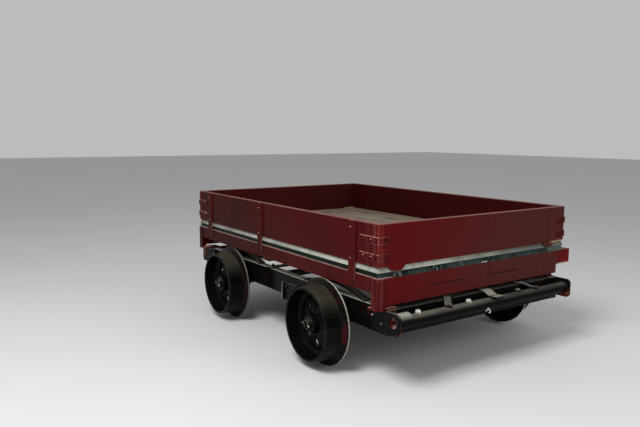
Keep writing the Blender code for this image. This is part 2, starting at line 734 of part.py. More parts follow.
def build():
    for obj in list(bpy.data.objects):
        bpy.data.objects.remove(obj, do_unlink=True)
    maroon = make_material("maroon_paint", (0.082, 0.010, 0.012), 0.3, 0.0)
    black = make_material("black_paint", (0.012, 0.012, 0.012), 0.35, 0.0)
    wheel_paint = make_material("wheel_paint", (0.015, 0.015, 0.014), 0.35, 0.0)
    worn = make_material("worn_tube", (0.04, 0.037, 0.033), 0.45, 0.2)
    steel = make_material("axle_steel", (0.05, 0.048, 0.045), 0.4, 0.6)
    cast = make_material("cast_iron", (0.02, 0.019, 0.018), 0.5, 0.3)
    rail_paint = make_material("rail_paint", (0.18, 0.19, 0.18), 0.4, 0.0)
    wood = make_material("floor_wood", (0.12, 0.08, 0.05), 0.7, 0.0)
    build_side_frames(black)
    for end, sx, _ in ENDS:
        build_end_tube(end, sx, black, worn)
        build_headstock(end, sx, black)
    build_running_gear(black, cast)
    build_hangers(black)
    build_wheelsets(steel, wheel_paint)
    build_deck(rail_paint, wood)
    build_skirts(maroon)
    build_corner_feet(maroon)
    build_end_boards(maroon)
    build_side_boards(maroon)


build()
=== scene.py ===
# %% [markdown]
# # An open railway hand trolley
# The trolley is a small flat wagon that a track gang pushes by hand. It has a channel frame, four dished
# wheels, and a timber body with low boards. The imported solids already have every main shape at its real
# size, so this lesson dresses them: paint, dust, wear, bolts, nuts, welds and nails.
# The frame is loaded first, because each later piece takes its place from it.

# %% Load the frame
import json
import math

import bmesh
import bpy
from mathutils import Matrix, Vector


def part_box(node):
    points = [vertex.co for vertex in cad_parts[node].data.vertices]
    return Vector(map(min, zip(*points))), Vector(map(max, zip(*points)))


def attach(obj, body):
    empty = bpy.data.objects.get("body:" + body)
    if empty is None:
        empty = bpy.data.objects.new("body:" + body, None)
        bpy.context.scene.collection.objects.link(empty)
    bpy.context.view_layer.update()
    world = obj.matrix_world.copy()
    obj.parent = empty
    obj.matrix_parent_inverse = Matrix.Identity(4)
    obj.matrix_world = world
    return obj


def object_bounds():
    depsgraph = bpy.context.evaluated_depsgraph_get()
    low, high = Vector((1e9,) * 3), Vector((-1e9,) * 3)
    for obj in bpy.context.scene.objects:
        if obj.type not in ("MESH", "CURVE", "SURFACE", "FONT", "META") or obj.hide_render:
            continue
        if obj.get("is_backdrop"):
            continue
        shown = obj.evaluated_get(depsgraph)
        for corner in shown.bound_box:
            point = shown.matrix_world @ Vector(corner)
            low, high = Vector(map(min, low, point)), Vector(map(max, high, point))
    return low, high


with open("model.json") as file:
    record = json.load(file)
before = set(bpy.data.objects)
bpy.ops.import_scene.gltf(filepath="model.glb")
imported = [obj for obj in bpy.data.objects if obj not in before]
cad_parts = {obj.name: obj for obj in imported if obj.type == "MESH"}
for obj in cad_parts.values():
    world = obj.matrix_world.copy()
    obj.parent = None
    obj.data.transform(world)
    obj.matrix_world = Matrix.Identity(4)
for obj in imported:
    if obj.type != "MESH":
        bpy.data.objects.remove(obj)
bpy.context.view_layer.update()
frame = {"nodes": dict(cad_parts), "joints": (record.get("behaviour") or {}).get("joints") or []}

NODES = frame["nodes"]

# %% [markdown]
# ## The places that everything else is measured from
# A designer of this trolley would give a bolt's place as a distance from an edge of the board that it
# holds. The same is done here: the edges come from the boxes of the solids, so that a bolt follows its
# board if the board changes.

# %% Edges and heights
TROLLEY = "trolley"
# which way each end and side lies: the front at +X, the right at +Y
ENDS = {"front": 1, "rear": -1}
SIDES = {"left": -1, "right": 1}

RAIL_LOW, RAIL_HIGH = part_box("deck_rail")
BODY_EDGE = {"front": RAIL_HIGH.x, "rear": RAIL_LOW.x}
BODY_MIDDLE_X = (RAIL_HIGH.x + RAIL_LOW.x) / 2
BODY_HALF_X = (RAIL_HIGH.x - RAIL_LOW.x) / 2
BODY_SIDE_Y = RAIL_HIGH.y
DECK_Z = RAIL_HIGH.z
BOARD_TOP_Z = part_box("end_board_front")[1].z
AXLES = {joint["child"]: Vector(joint["pos_m"]) for joint in frame["joints"]}
print("body edges:", BODY_EDGE, "axles:", {name: round(p.x, 3) for name, p in AXLES.items()})

# %% [markdown]
# ## The camera
# The photo's camera was found by fitting a pinhole view to the wheel rims and the body's corners. Its
# heading, tilt and roll are kept as angles, because they say plainly how the photographer stood: in front
# of the near corner, at chest height, looking slightly down.

# %% Camera
CAMERA_PLACE = Vector((3.0805, -2.4780, 1.1949))
CAMERA_HEADING = math.radians(145.361)
CAMERA_TILT = math.radians(-7.2465)
CAMERA_ROLL = math.radians(0.338)
CAMERA_LENS = 34.69

camera_data = bpy.data.cameras.new("camera")
camera_data.lens = CAMERA_LENS
camera = bpy.data.objects.new("camera", camera_data)
bpy.context.scene.collection.objects.link(camera)
bpy.context.scene.camera = camera

ahead = Vector((math.cos(CAMERA_HEADING) * math.cos(CAMERA_TILT),
                math.sin(CAMERA_HEADING) * math.cos(CAMERA_TILT),
                math.sin(CAMERA_TILT)))
level = ahead.cross(Vector((0, 0, 1))).normalized()
upright = level.cross(ahead)
right = level * math.cos(CAMERA_ROLL) + upright * math.sin(CAMERA_ROLL)
up = upright * math.cos(CAMERA_ROLL) - level * math.sin(CAMERA_ROLL)
camera.matrix_world = Matrix.Translation(CAMERA_PLACE) @ Matrix((right, up, -ahead)).transposed().to_4x4()
print("camera at", [round(v, 2) for v in CAMERA_PLACE])

# %% [markdown]
# ## A socket that does arithmetic
# Blender's shader maths is usually drawn as boxes and wires. In a script it is easier to read as an
# expression, so this class wraps one socket and turns + - * / > and < into Math nodes. The reflected forms
# let a plain number stand first, as in 1 - mask. Every other node comes from the class's node method: the
# node's type, its settings, and the values or wires of its sockets.

# %% The Wire class
class Wire:
    """One output socket in a material's node tree."""

    def __init__(self, tree, socket=None):
        self.tree = tree
        self.socket = socket

    def node(self, kind, settings=None, inputs=None, output=0):
        """Adds a node of this kind and returns the wire of one of its outputs."""
        made = self.tree.nodes.new("ShaderNode" + kind)
        for name, value in (settings or {}).items():
            setattr(made, name, value)
        for key, value in (inputs or {}).items():
            if isinstance(value, Wire):
                self.tree.links.new(value.socket, made.inputs[key])
            else:
                made.inputs[key].default_value = value
        return Wire(self.tree, made.outputs[output])

    def maths(self, operation, first, second):
        """A Math node on two values or wires."""
        return self.node("Math", {"operation": operation}, {0: first, 1: second})

    def __add__(self, other):
        return self.maths("ADD", self, other)

    def __sub__(self, other):
        return self.maths("SUBTRACT", self, other)

    def __rsub__(self, other):
        return self.maths("SUBTRACT", other, self)

    def __mul__(self, other):
        return self.maths("MULTIPLY", self, other)

    def __truediv__(self, other):
        return self.maths("DIVIDE", self, other)

    def __rtruediv__(self, other):
        return self.maths("DIVIDE", other, self)

    def __gt__(self, other):
        return self.maths("GREATER_THAN", self, other)

    def __lt__(self, other):
        return self.maths("LESS_THAN", self, other)

    __radd__ = __add__
    __rmul__ = __mul__


print("Wire is ready")

# %% [markdown]
# ## The patterns that dirt and wear follow
# Old paint is never one colour. It clouds, runs, wears through at corners and gathers dust on top. Each of
# those is a mask between 0 and 1, made once here and used by every finish. All of them read the piece's
# own coordinates, which are the trolley's at rest, so a mark stays put when a wheel turns.

# %% Steps and mixes
# a Mix node has sockets for each data type: the two colours are its inputs 6 and 7, and output 2
MIX_FIRST, MIX_SECOND, MIX_RESULT = 6, 7, 2


def rise(value, low, high):
    """0 below low and 1 above high, with a smooth step between."""
    return value.node("MapRange", {"interpolation_type": "SMOOTHSTEP"},
                      {"Value": value, "From Min": low, "From Max": high})


def between(value, low, high, soft):
    """1 between low and high, with soft shoulders."""
    return rise(value, low - soft, low + soft) * (1 - rise(value, high - soft, high + soft))


def size_of(value):
    """The value without its sign."""
    return value.maths("ABSOLUTE", value, 0.0)


def mix(factor, first, second):
    """The first colour where the factor is 0, and the second where it is 1."""
    sockets = {0: factor, MIX_FIRST: first, MIX_SECOND: second}
    return factor.node("Mix", {"data_type": "RGBA"}, sockets, MIX_RESULT)


def layered(colour, layers):
    """Lays colours over a first one. A layer is a mask, how much of it covers, and a colour."""
    for mask, cover, over in layers:
        colour = mix(mask * cover, colour, over)
    return colour


print("steps and mixes are ready")

# %% Noise and directions
def noise(place, scale, detail=3.0, stretch=None):
    """Cloudy noise around 0.5. A small stretch along an axis makes long streaks along it."""
    if stretch:
        place = place.node("VectorMath", {"operation": "MULTIPLY"}, {0: place, 1: stretch})
    return place.node("TexNoise", None, {"Vector": place, "Scale": scale, "Detail": detail})


def part(vector, axis):
    """One part of a vector: its X, Y or Z."""
    return vector.node("SeparateXYZ", None, {0: vector}, axis)


def split(vector, axes="XYZ"):
    """Several parts of a vector, each as a wire."""
    return [part(vector, axis) for axis in axes]


def length_of(vector):
    """How long a vector is."""
    return vector.node("VectorMath", {"operation": "LENGTH"}, {0: vector}, "Value")


def own_normal(place):
    """The surface's direction in the piece's own frame."""
    return place.node("TexCoord", None, None, "Normal")


print("noise and directions are ready")

# %% [markdown]
# ## Corners that catch the light
# No edge of the real trolley is knife sharp, and every edge is rubbed first. Rounding them all in the mesh
# would cost many faces. The Bevel node gives the same soft highlight in the shader, and the angle between
# its rounded direction and the true one tells where the corners are.

# %% Rounded and worn corners
BEVEL_SAMPLES = 6


def corner_wear(place, width, low=0.03, high=0.25):
    """1 along the piece's corners, found by how far a rounded normal leans from the true one."""
    true = place.node("NewGeometry", None, None, "Normal")
    rounded = place.node("Bevel", {"samples": BEVEL_SAMPLES}, {"Radius": width})
    lean = place.node("VectorMath", {"operation": "DOT_PRODUCT"}, {0: true, 1: rounded}, "Value")
    return rise(1 - lean, low, high)


def soft_bump(place, height, depth, strength=0.5, corner=0.0012):
    """The height as a bump over corners that are rounded by a millimetre or so."""
    rounded = place.node("Bevel", {"samples": BEVEL_SAMPLES}, {"Radius": corner})
    return place.node("Bump", None, {"Strength": strength, "Distance": depth, "Height": height,
                                     "Normal": rounded})


print("corners are rounded with", BEVEL_SAMPLES, "samples")

# %% [markdown]
# ## Paint in the tin
# A colour is easiest to judge as the 0 to 255 numbers of a picture, while the shader wants linear light,
# so one function turns the first into the second. A finish is a recipe: a function that takes the place on
# the surface and returns the shader's sockets. The gloss of every recipe is turned down at its Specular
# level, because the pale studio would otherwise mirror grey into the black and the maroon.

# %% Colours and materials
def paint(red, green, blue):
    """A colour written as the 0 to 255 numbers of a picture, as the shader's own linear colour."""
    linear = []
    for level in (red, green, blue):
        share = level / 255
        linear.append(share / 12.92 if share <= 0.04045 else ((share + 0.055) / 1.055) ** 2.4)
    return (*linear, 1.0)


def make_material(name, recipe, *details):
    """A material whose shader takes the sockets that the recipe returns."""
    made = bpy.data.materials.new(name)
    made.use_nodes = True
    tree = made.node_tree
    tree.nodes.clear()
    place = Wire(tree).node("TexCoord", None, None, "Object")
    shader = place.node("BsdfPrincipled", None, recipe(place, *details))
    output = tree.nodes.new("ShaderNodeOutputMaterial")
    tree.links.new(shader.socket, output.inputs["Surface"])
    return made


def wear_finish(material, slot, *names):
    """Gives a finish to CAD nodes by the start of their names."""
    chosen = [node for name, node in NODES.items() if name.startswith(names)]
    for node in chosen:
        node.data.materials.clear()
        node.data.materials.append(material)
    print(material.name, "on", len(chosen), "nodes")


print("a middle grey is", [round(share, 3) for share in paint(128, 128, 128)[:3]], "to the shader")

# %% [markdown]
# ## Floor and light
# A plain pale floor lies under the flanges, and a pale world lights everything softly. A sun would draw
# hard shadows, so a large disk above the front left corner lights the sides instead, and a weaker one
# fills the end.

# %% Floor
FLOOR_HALF = 30.0


def floor_finish(place):
    """A pale grey with hardly any cloud in it."""
    return {
        "Base Color": mix(noise(place, 0.8), paint(196, 196, 194), paint(204, 204, 202)),
        "Roughness": 0.9,
        "Specular IOR Level": 0.1,
    }


corners = [(x * FLOOR_HALF, y * FLOOR_HALF, 0) for x, y in ((-1, -1), (1, -1), (1, 1), (-1, 1))]
floor_mesh = bpy.data.meshes.new("studio_floor")
floor_mesh.from_pydata(corners, [], [(0, 1, 2, 3)])
floor = bpy.data.objects.new("studio_floor", floor_mesh)
bpy.context.scene.collection.objects.link(floor)
floor_mesh.materials.append(make_material("studio_floor", floor_finish))
floor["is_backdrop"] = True
print("floor is", 2 * FLOOR_HALF, "m wide")

# %% World and lamps
WORLD_COLOUR = (0.80, 0.81, 0.82, 1.0)
WORLD_STRENGTH = 0.62
LAMP_AIM = Vector((0.1, 0.0, 0.45))
# name, place, width in metres, watts
LAMPS = (
    ("lamp_key", (1.5, -3.2, 4.2), 2.2, 230.0),
    ("lamp_fill", (4.8, 1.6, 2.6), 2.6, 70.0),
)

world = bpy.data.worlds.new("studio")
bpy.context.scene.world = world
world.use_nodes = True
background = world.node_tree.nodes["Background"]
background.inputs["Color"].default_value = WORLD_COLOUR
background.inputs["Strength"].default_value = WORLD_STRENGTH
bpy.context.scene.view_settings.view_transform = "Standard"

for name, place, width, watts in LAMPS:
    lamp_data = bpy.data.lights.new(name, "AREA")
    lamp_data.shape = "DISK"
    lamp_data.size = width
    lamp_data.energy = watts
    lamp = bpy.data.objects.new(name, lamp_data)
    bpy.context.scene.collection.objects.link(lamp)
    lamp.location = place
    lamp.rotation_mode = "QUATERNION"
    lamp.rotation_quaternion = (LAMP_AIM - Vector(place)).to_track_quat("-Z", "Y")
print(len(LAMPS), "lamps")

# %% [markdown]
# ## Maroon gloss on the boards
# The boards are softwood under old maroon gloss. The paint clouds a little, shows its brush marks along the
# grain, and is worn to a pale pinkish line along every top edge and corner. The inside is painted dark as
# shade.
# A painted picture for each board would be lost if a board changed its size, so the marks are worked out
# from the place on the board.

# %% Maroon colours
MAROON_SIDE = paint(64, 8, 9)
MAROON_END = paint(83, 9, 11)
MAROON_FADED = paint(66, 30, 27)
# the darker maroon of the inside faces is painted shade; the dark marks on the ends use it too
MAROON_INSIDE = paint(44, 6, 8)
MAROON_DIRT = paint(34, 9, 8)
BLOCK_RED = paint(96, 4, 7)
WORN_RED = paint(136, 58, 56)
WORN_PALE = paint(190, 134, 126)
TOP_DUST = paint(118, 86, 79)
FOOT_DUST = paint(176, 122, 112)
BARE_WOOD = paint(150, 132, 100)
FRONT_X = BODY_EDGE["front"]
BLOCK_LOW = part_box("corner_block")[0]
print("the corner block starts at", [round(v, 3) for v in BLOCK_LOW])

# %% The paint before any wear
def side_paint(place, cloud):
    """The sides: darker towards the rear, with a redder block at the front right corner."""
    x, y, z = split(place)
    rear_dark = (1 - rise(x, -0.30, 0.30)) * 0.45
    colour = mix(rear_dark + 0.2 * rise(cloud, 0.42, 0.60), MAROON_SIDE, MAROON_DIRT)
    at_block = rise(y, BLOCK_LOW.y - 0.001, BLOCK_LOW.y) * rise(x, BLOCK_LOW.x - 0.002, BLOCK_LOW.x)
    at_block = at_block * (1 - rise(z, DECK_Z - 0.002, DECK_Z))
    return mix(at_block * rise(cloud, 0.30, 0.55), colour, BLOCK_RED)


def end_paint(place, cloud):
    """The ends: redder than the sides, and fading to brown towards the right."""
    across = part(place, "Y")
    fade = rise(across, -0.70, 0.40) * (0.8 + 0.2 * rise(cloud, 0.35, 0.6))
    return mix(fade, MAROON_END, MAROON_FADED)


print("two base coats are ready")

# %% [markdown]
# Wear and painted light are told by where they are. A face that looks into the body is painted darker as
# shade, an iron's front edge gets a painted highlight where it stands proud of the boards, and the front
# left corner is painted paler and redder, with a painted highlight and wear along its upright edge.

# %% Where the boards are worn
BOARD_T = 0.025
BAND_L = 0.135
BAND_H = 0.038
BAND_TOPS_Z = (BOARD_TOP_Z - 0.060, DECK_Z + 0.062)


def inner_face(place, at_end):
    """1 on the faces that look into the body, whose maroon is painted darker as shade."""
    x, y, z = split(place)
    from_end = BODY_HALF_X - size_of(x - BODY_MIDDLE_X)
    if at_end:
        inner = rise(from_end, BOARD_T * 0.6, BOARD_T * 0.9) * rise(z, DECK_Z - 0.002, DECK_Z + 0.004)
    else:
        from_side = BODY_SIDE_Y - size_of(y)
        inner = rise(from_end, 0.020, 0.024) * rise(from_side, BOARD_T * 0.6, BOARD_T * 0.9)
    return inner * rise(z, DECK_Z, DECK_Z + 0.001)


def proud_of_side(place):
    """1 on the irons and bands, which stand out past the rail."""
    return rise(size_of(part(place, "Y")), BODY_SIDE_Y + 0.001, BODY_SIDE_Y + 0.003)


def band_edge_highlights(place, patch):
    """1 along the upper edges of the corner bands, in broken stretches: a painted highlight where their
    tops catch the light.
    """
    x, z = split(place, "XZ")
    lines = 0
    for top in BAND_TOPS_Z:
        lines = lines + between(z, top - 0.0035, top + 0.001, 0.0006)
    at_bands = rise(size_of(x - BODY_MIDDLE_X), BODY_HALF_X - BAND_L, BODY_HALF_X - BAND_L + 0.001)
    return lines * proud_of_side(place) * at_bands * rise(patch, 0.36, 0.52)


def iron_ridge_highlight(place):
    """1 on the irons' front edges, but not on the band at the front corner: a painted highlight on the
    faces towards the front.
    """
    x = part(place, "X")
    facing_front = rise(part(own_normal(place), "X"), 0.5, 0.8)
    return facing_front * proud_of_side(place) * (1 - rise(x, FRONT_X - 0.02, FRONT_X - 0.01))


def front_left_corner(place):
    """Rises to 1 over the last stretch to the front left corner."""
    x, y = split(place, "XY")
    return rise(x, FRONT_X - 0.12, FRONT_X) * rise(0 - y, BODY_SIDE_Y - 0.08, BODY_SIDE_Y)


print("band tops at", [round(top, 3) for top in BAND_TOPS_Z], "m")

# %% [markdown]
# The front end has marks of its own: painted shade round the two long slots in the skirt, a short dark mark
# on the board, and a dark line painted as the shade of a groove, with a pale scratch beside it on the
# skirt.
# Each is a rectangle with soft edges, so a short table holds them all.

# %% Marks on the ends
SKIRT_BOTTOM_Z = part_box("end_skirt_front")[0].z
SLOT_MIDDLES_Y = (-0.243, 0.172)
SLOT_HALF_L = 0.121
SLOT_Z = (SKIRT_BOTTOM_Z + 0.0575, SKIRT_BOTTOM_Z + 0.0655)
# from and to across, from and to in height, softness across and in height
BOARD_MARK = ((0.643, 0.649), (0.701, 0.736), (0.0012, 0.0030))
SKIRT_GROOVE_SHADE = ((0.5035, 0.5075), (0.436, 0.468), (0.0010, 0.0030))
SKIRT_SCRATCH = ((0.4990, 0.5020), (0.438, 0.470), (0.0010, 0.0030))
# the dark bands at the slots are painted shade round the slots' edges
SLOT_SHADES = [((y - SLOT_HALF_L, y + SLOT_HALF_L), SLOT_Z, (0.0010, 0.0008)) for y in SLOT_MIDDLES_Y]


def marked(place, across, heights, soft):
    """1 inside a rectangle on the ends."""
    y, z = split(place, "YZ")
    return between(y, *across, soft[0]) * between(z, *heights, soft[1])


def end_marks_and_shade(place):
    """All dark marks on the ends, with the painted shade of the slots and the groove. The slots' shade is
    fainter than the others.
    """
    marks = marked(place, *BOARD_MARK) + marked(place, *SKIRT_GROOVE_SHADE)
    for slot in SLOT_SHADES:
        marks = marks + marked(place, *slot) * 0.55
    return marks


print(2 + len(SLOT_SHADES), "dark marks and a scratch")

# %% [markdown]
# At the front right corner the paint is gone and the grey wood shows: along the lower edge of the block,
# and along the lower edge of the end board over the rail.

# %% Bare wood
def bare_block(place, patch):
    """1 along the lower edge of the corner block."""
    x, y, z = split(place)
    low_edge = 1 - rise(z, BLOCK_LOW.z + 0.003, BLOCK_LOW.z + 0.008)
    bare = low_edge * rise(y, BLOCK_LOW.y, BLOCK_LOW.y + 0.02) * rise(patch, 0.30, 0.42)
    return bare * rise(x, BLOCK_LOW.x - 0.002, BLOCK_LOW.x)


def bare_end(place, patch):
    """1 along the lower edge of the end boards, near the right corner."""
    y, z = split(place, "YZ")
    bare = rise(y, 0.56, 0.60) * (1 - rise(z, DECK_Z + 0.004, DECK_Z + 0.009 + patch * 0.004))
    return bare * rise(z, DECK_Z - 0.004, DECK_Z - 0.001)


print("bare wood is ready")

# %% [markdown]
# One recipe then serves the sides, the ends and the feet. The first coat goes on, and dirt, rubbing, chips
# and dust are laid over it in the order in which they came. The ends keep their tongues' edges painted,
# because those sit in the corner boards, and the feet are hardly rubbed but hold pale dust on their tops.

# %% Maroon recipe
FOOT_WEAR = 0.15
GRAIN = {"side": (0.05, 1.0, 1.0), "end": (1.0, 0.05, 1.0), "foot": (0.05, 1.0, 1.0)}


def brush_marks(place, kind):
    """Brush marks along the grain and a little orange peel."""
    return noise(place, 90.0, 3.0, GRAIN[kind]) * 0.7 + noise(place, 260.0, 2.0) * 0.2


def maroon(place, kind):
    """Old gloss on a side, an end or a foot."""
    x, z = split(place, "XZ")
    normal_z = part(own_normal(place), "Z")
    cloud = noise(place, 3.0, 4.0)
    runs = noise(place, 24.0, 3.0, (1.0, 1.0, 0.06))
    speck = noise(place, 260.0, 2.0)
    patch = noise(place, 42.0, 4.0)
    inner = inner_face(place, kind == "end")
    near = front_left_corner(place)
    on_band = between(z, BAND_TOPS_Z[0] - BAND_H, BAND_TOPS_Z[0], 0.001)
    # painted highlight with some wear along the front left corner's upright edge
    arris_highlight_and_wear = near * corner_wear(place, 0.005) * (0.3 + 0.7 * on_band) * rise(z, DECK_Z, DECK_Z + 0.01)
    worn = corner_wear(place, 0.0022) * rise(patch, 0.44, 0.62)
    top = rise(z, BOARD_TOP_Z - 0.0035, BOARD_TOP_Z - 0.001) * rise(speck + cloud * 0.4, 0.55, 0.75)
    chips = rise(noise(place, 75.0, 4.0), 0.750, 0.775)
    dust = rise(normal_z, 0.5, 0.95) * rise(speck + cloud, 0.55, 0.95)
    if kind == "end":
        on_board = 1 - rise(size_of(x - BODY_MIDDLE_X), BODY_HALF_X + 0.0004, BODY_HALF_X + 0.0012)
        worn = worn * on_board
        dust = dust * on_board
    if kind == "foot":
        worn = worn * FOOT_WEAR
    colour = layered(end_paint(place, cloud) if kind == "end" else side_paint(place, cloud), (
        (rise(runs, 0.56, 0.75), 0.3, MAROON_DIRT),
        (near * rise(runs, 0.45, 0.62), 0.35, WORN_RED),
        # painted shade: the faces that look into the body are darkened
        (inner, 0.85, MAROON_INSIDE),
        # painted highlight along the bands' upper edges
        (band_edge_highlights(place, patch) * (1 - inner), 0.55, WORN_PALE),
        (worn, 0.6, mix(rise(noise(place, 19.0), 0.45, 0.65), WORN_RED, WORN_PALE)),
    ))
    # painted highlight along the irons' front edges, pale below the deck and red above
    if kind == "side":
        ridge_highlight_colour = mix(rise(z, DECK_Z - 0.01, DECK_Z + 0.01), WORN_PALE, WORN_RED)
        colour = mix(iron_ridge_highlight(place) * 0.28, colour, ridge_highlight_colour)
    colour = layered(colour, (
        (arris_highlight_and_wear, 0.9, WORN_PALE),
        (top, 0.8, TOP_DUST),
        (chips, 0.6, WORN_RED),
        (dust, 0.7, FOOT_DUST if kind == "foot" else TOP_DUST),
    ))
    rough = 0.24 + 0.12 * rise(cloud, 0.35, 0.65) + 0.35 * (worn + dust) + 0.2 * inner
    if kind == "end":
        # dark marks, and painted shade at the slots and the groove
        colour = mix(end_marks_and_shade(place) * 0.8, colour, MAROON_INSIDE)
        colour = mix(marked(place, *SKIRT_SCRATCH) * 0.25, colour, WORN_PALE)
    if kind != "foot":
        bare = bare_end(place, patch) if kind == "end" else bare_block(place, patch)
        colour = mix(bare * 0.9, colour, BARE_WOOD)
        rough = rough + 0.4 * bare
    return {
        "Base Color": colour,
        "Roughness": rough,
        "Specular IOR Level": 0.05,
        "Normal": soft_bump(place, brush_marks(place, kind) - chips * 0.6, 0.0005, 0.35),
    }


print("maroon goes on", list(GRAIN))

# %% Maroon on the nodes
maroon_side = make_material("maroon_side", maroon, "side")
maroon_end = make_material("maroon_end", maroon, "end")
maroon_foot = make_material("maroon_foot", maroon, "foot")
wear_finish(maroon_side, "maroon_paint", "side_board", "corner_board", "side_skirt", "corner_block")
wear_finish(maroon_end, "maroon_paint", "end_board", "end_skirt")
wear_finish(maroon_foot, "maroon_paint", "corner_foot")

# %% [markdown]
# ## The deck rail
# The rail is one timber section that runs round the body. Its sloped top is worn pale grey, its face is a
# dark green painted almost black on the sides as shade and lighter grey-green on the ends as lit paint,
# with scuffs on the front, and a thin pale line marks its lower lip. Three materials on three sets of faces
# would give hard borders. The three bands lie at heights of the section, so the height chooses the paint
# and the borders stay soft.

# %% Rail colours and stretches
RAIL_SLOPE_H = 0.025
RAIL_LIP_H = 0.006
RAIL_PALE = paint(158, 160, 150)
RAIL_PALE_DIRT = paint(118, 118, 108)
RAIL_SHADED = paint(78, 82, 77)
# the face's near-black green is painted shade on the sides; the lighter green below is the same paint
# painted as lit, for the ends
RAIL_GREEN_SHADED = paint(7, 17, 13)
RAIL_GREEN_LIT = paint(30, 48, 45)
RAIL_FAR = paint(86, 93, 88)
RAIL_SCUFF = paint(104, 116, 110)
RAIL_LINE = paint(156, 120, 116)
# the pale line on the ends stops here
LIP_END_Y = -0.610
# a pale nick in the front lip: from, to
NICK_Y = (0.000, 0.046)
# the sides' slope gets dull towards the rear over this stretch
RAIL_REAR_X = (-0.42, -0.08)
# the front face is grey from here to the right corner
RAIL_LAST_Y = 0.560
# scuffed stretches of the front face: from, to
RAIL_SCUFFS_Y = ((-0.618, -0.548), (-0.345, -0.290), (-0.165, -0.105))
print("the rail's slope starts at", round(DECK_Z - RAIL_SLOPE_H, 3), "m")

# %% Rail recipe
def rail_finish(place):
    """Pale slope, dark green face and pale lip."""
    x, y, z = split(place)
    cloud = noise(place, 9.0, 4.0)
    speck = noise(place, 240.0, 3.0)
    scuff = noise(place, 60.0, 5.0, (1.0, 1.0, 0.5))
    slope = rise(z, DECK_Z - RAIL_SLOPE_H - 0.0006, DECK_Z - RAIL_SLOPE_H + 0.0006)
    lip = 1 - rise(z, RAIL_LOW.z + RAIL_LIP_H - 0.001, RAIL_LOW.z + RAIL_LIP_H + 0.001)
    at_end = rise(size_of(x - BODY_MIDDLE_X), BODY_HALF_X - 0.012, BODY_HALF_X - 0.008)
    at_front = at_end * (x > 0)
    handled = 0.18
    for stretch in RAIL_SCUFFS_Y:
        handled = handled + between(y, *stretch, 0.008)
    scuffed = at_front * handled * rise(scuff, 0.46, 0.66)
    lined = lip * (1 - at_end * rise(y, LIP_END_Y - 0.01, LIP_END_Y + 0.01))
    last = at_front * rise(y, RAIL_LAST_Y - 0.002, RAIL_LAST_Y + 0.002)
    # the ends' lighter green over the sides' near-black is painted light and shade
    face = layered(RAIL_GREEN_SHADED, (
        (at_end, rise(cloud, 0.40, 0.62), RAIL_GREEN_LIT),
        (scuffed, 0.8, RAIL_SCUFF),
        (lined * rise(speck + cloud * 0.6, 0.55, 0.85), 0.8, RAIL_LINE),
        (at_front * lip * between(y, *NICK_Y, 0.004), 0.9, RAIL_PALE),
        (last, 0.4 + 0.5 * rise(scuff, 0.36, 0.60), RAIL_FAR),
        (corner_wear(place, 0.002) * rise(speck + cloud * 0.5, 0.6, 0.9), 0.35, RAIL_SCUFF),
    ))
    top = layered(RAIL_PALE, (
        (rise(cloud + speck * 0.3, 0.5, 0.85), 1.0, RAIL_PALE_DIRT),
        (at_end * rise(y, -0.45, 0.55), 0.85, RAIL_SHADED),
        ((1 - at_end) * (1 - rise(x, *RAIL_REAR_X)), 0.40, RAIL_SHADED),
    ))
    return {
        "Base Color": mix(slope, face, top),
        "Roughness": 0.30 + 0.35 * slope + 0.2 * scuffed,
        "Specular IOR Level": 0.07,
        "Normal": soft_bump(place, cloud + speck * 0.3, 0.0006, 0.35),
    }


wear_finish(make_material("rail_paint", rail_finish), "rail_paint", "deck_rail")

# %% [markdown]
# ## The floor's planks
# Eight planks lie along the body on three cross bearers. Bare timber weathers grey-brown, each plank in
# its own tone, with long grain and dark joints. The plank's number comes from rounding down its place
# across the body, and white noise turns that number into a tone.

# %% Plank recipe
FLOOR_LOW, FLOOR_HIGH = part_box("floor")
PLANKS = 8
PLANK_W = (FLOOR_HIGH.y - FLOOR_LOW.y) / PLANKS
# half a joint's dark core and half its whole width
JOINT_CORE = 0.0015
JOINT_EDGE = 0.0045
PLANK_BROWN = paint(112, 88, 66)
PLANK_GREY = paint(128, 118, 104)
PLANK_DARK = paint(48, 38, 30)
PLANK_JOINT = paint(20, 16, 13)


def plank_finish(place):
    """Bare planks, each with its own tone and its own grain."""
    across = (part(place, "Y") - FLOOR_LOW.y) / PLANK_W
    number = place.maths("FLOOR", across, 0.0)
    from_middle = size_of(across - number - 0.5)
    joint = rise(from_middle, 0.5 - JOINT_EDGE / PLANK_W, 0.5 - JOINT_CORE / PLANK_W)
    tone = place.node("TexWhiteNoise", {"noise_dimensions": "1D"}, {"W": number}, "Value")
    shift = place.node("CombineXYZ", None, {"X": number * 3.7, "Z": number * 1.3})
    own = place.node("VectorMath", {"operation": "ADD"}, {0: place, 1: shift})
    grain = noise(own, 55.0, 5.0, (0.04, 1.0, 1.0))
    colour = mix(tone * 0.6 + noise(own, 5.0, 4.0) * 0.5, PLANK_BROWN, PLANK_GREY)
    return {
        "Base Color": layered(colour, (
            (rise(grain, 0.45, 0.62), 0.55, PLANK_DARK),
            (rise(noise(place, 6.0, 5.0), 0.50, 0.68), 0.40, PLANK_DARK),
            (joint, 0.85, PLANK_JOINT),
        )),
        "Roughness": 0.75 + 0.15 * grain,
        "Specular IOR Level": 0.25,
        "Normal": soft_bump(place, grain, 0.0012, 0.6),
    }


print(PLANKS, "planks,", round(PLANK_W, 3), "m wide")

# %% Bearer recipe
def bearer_finish(place):
    """Darker wood, with its grain across the trolley."""
    grain = noise(place, 50.0, 5.0, (1.0, 0.04, 1.0))
    return {
        "Base Color": mix(rise(grain, 0.35, 0.65), PLANK_DARK, PLANK_BROWN),
        "Roughness": 0.85,
        "Specular IOR Level": 0.15,
        "Normal": soft_bump(place, grain, 0.0012, 0.6),
    }


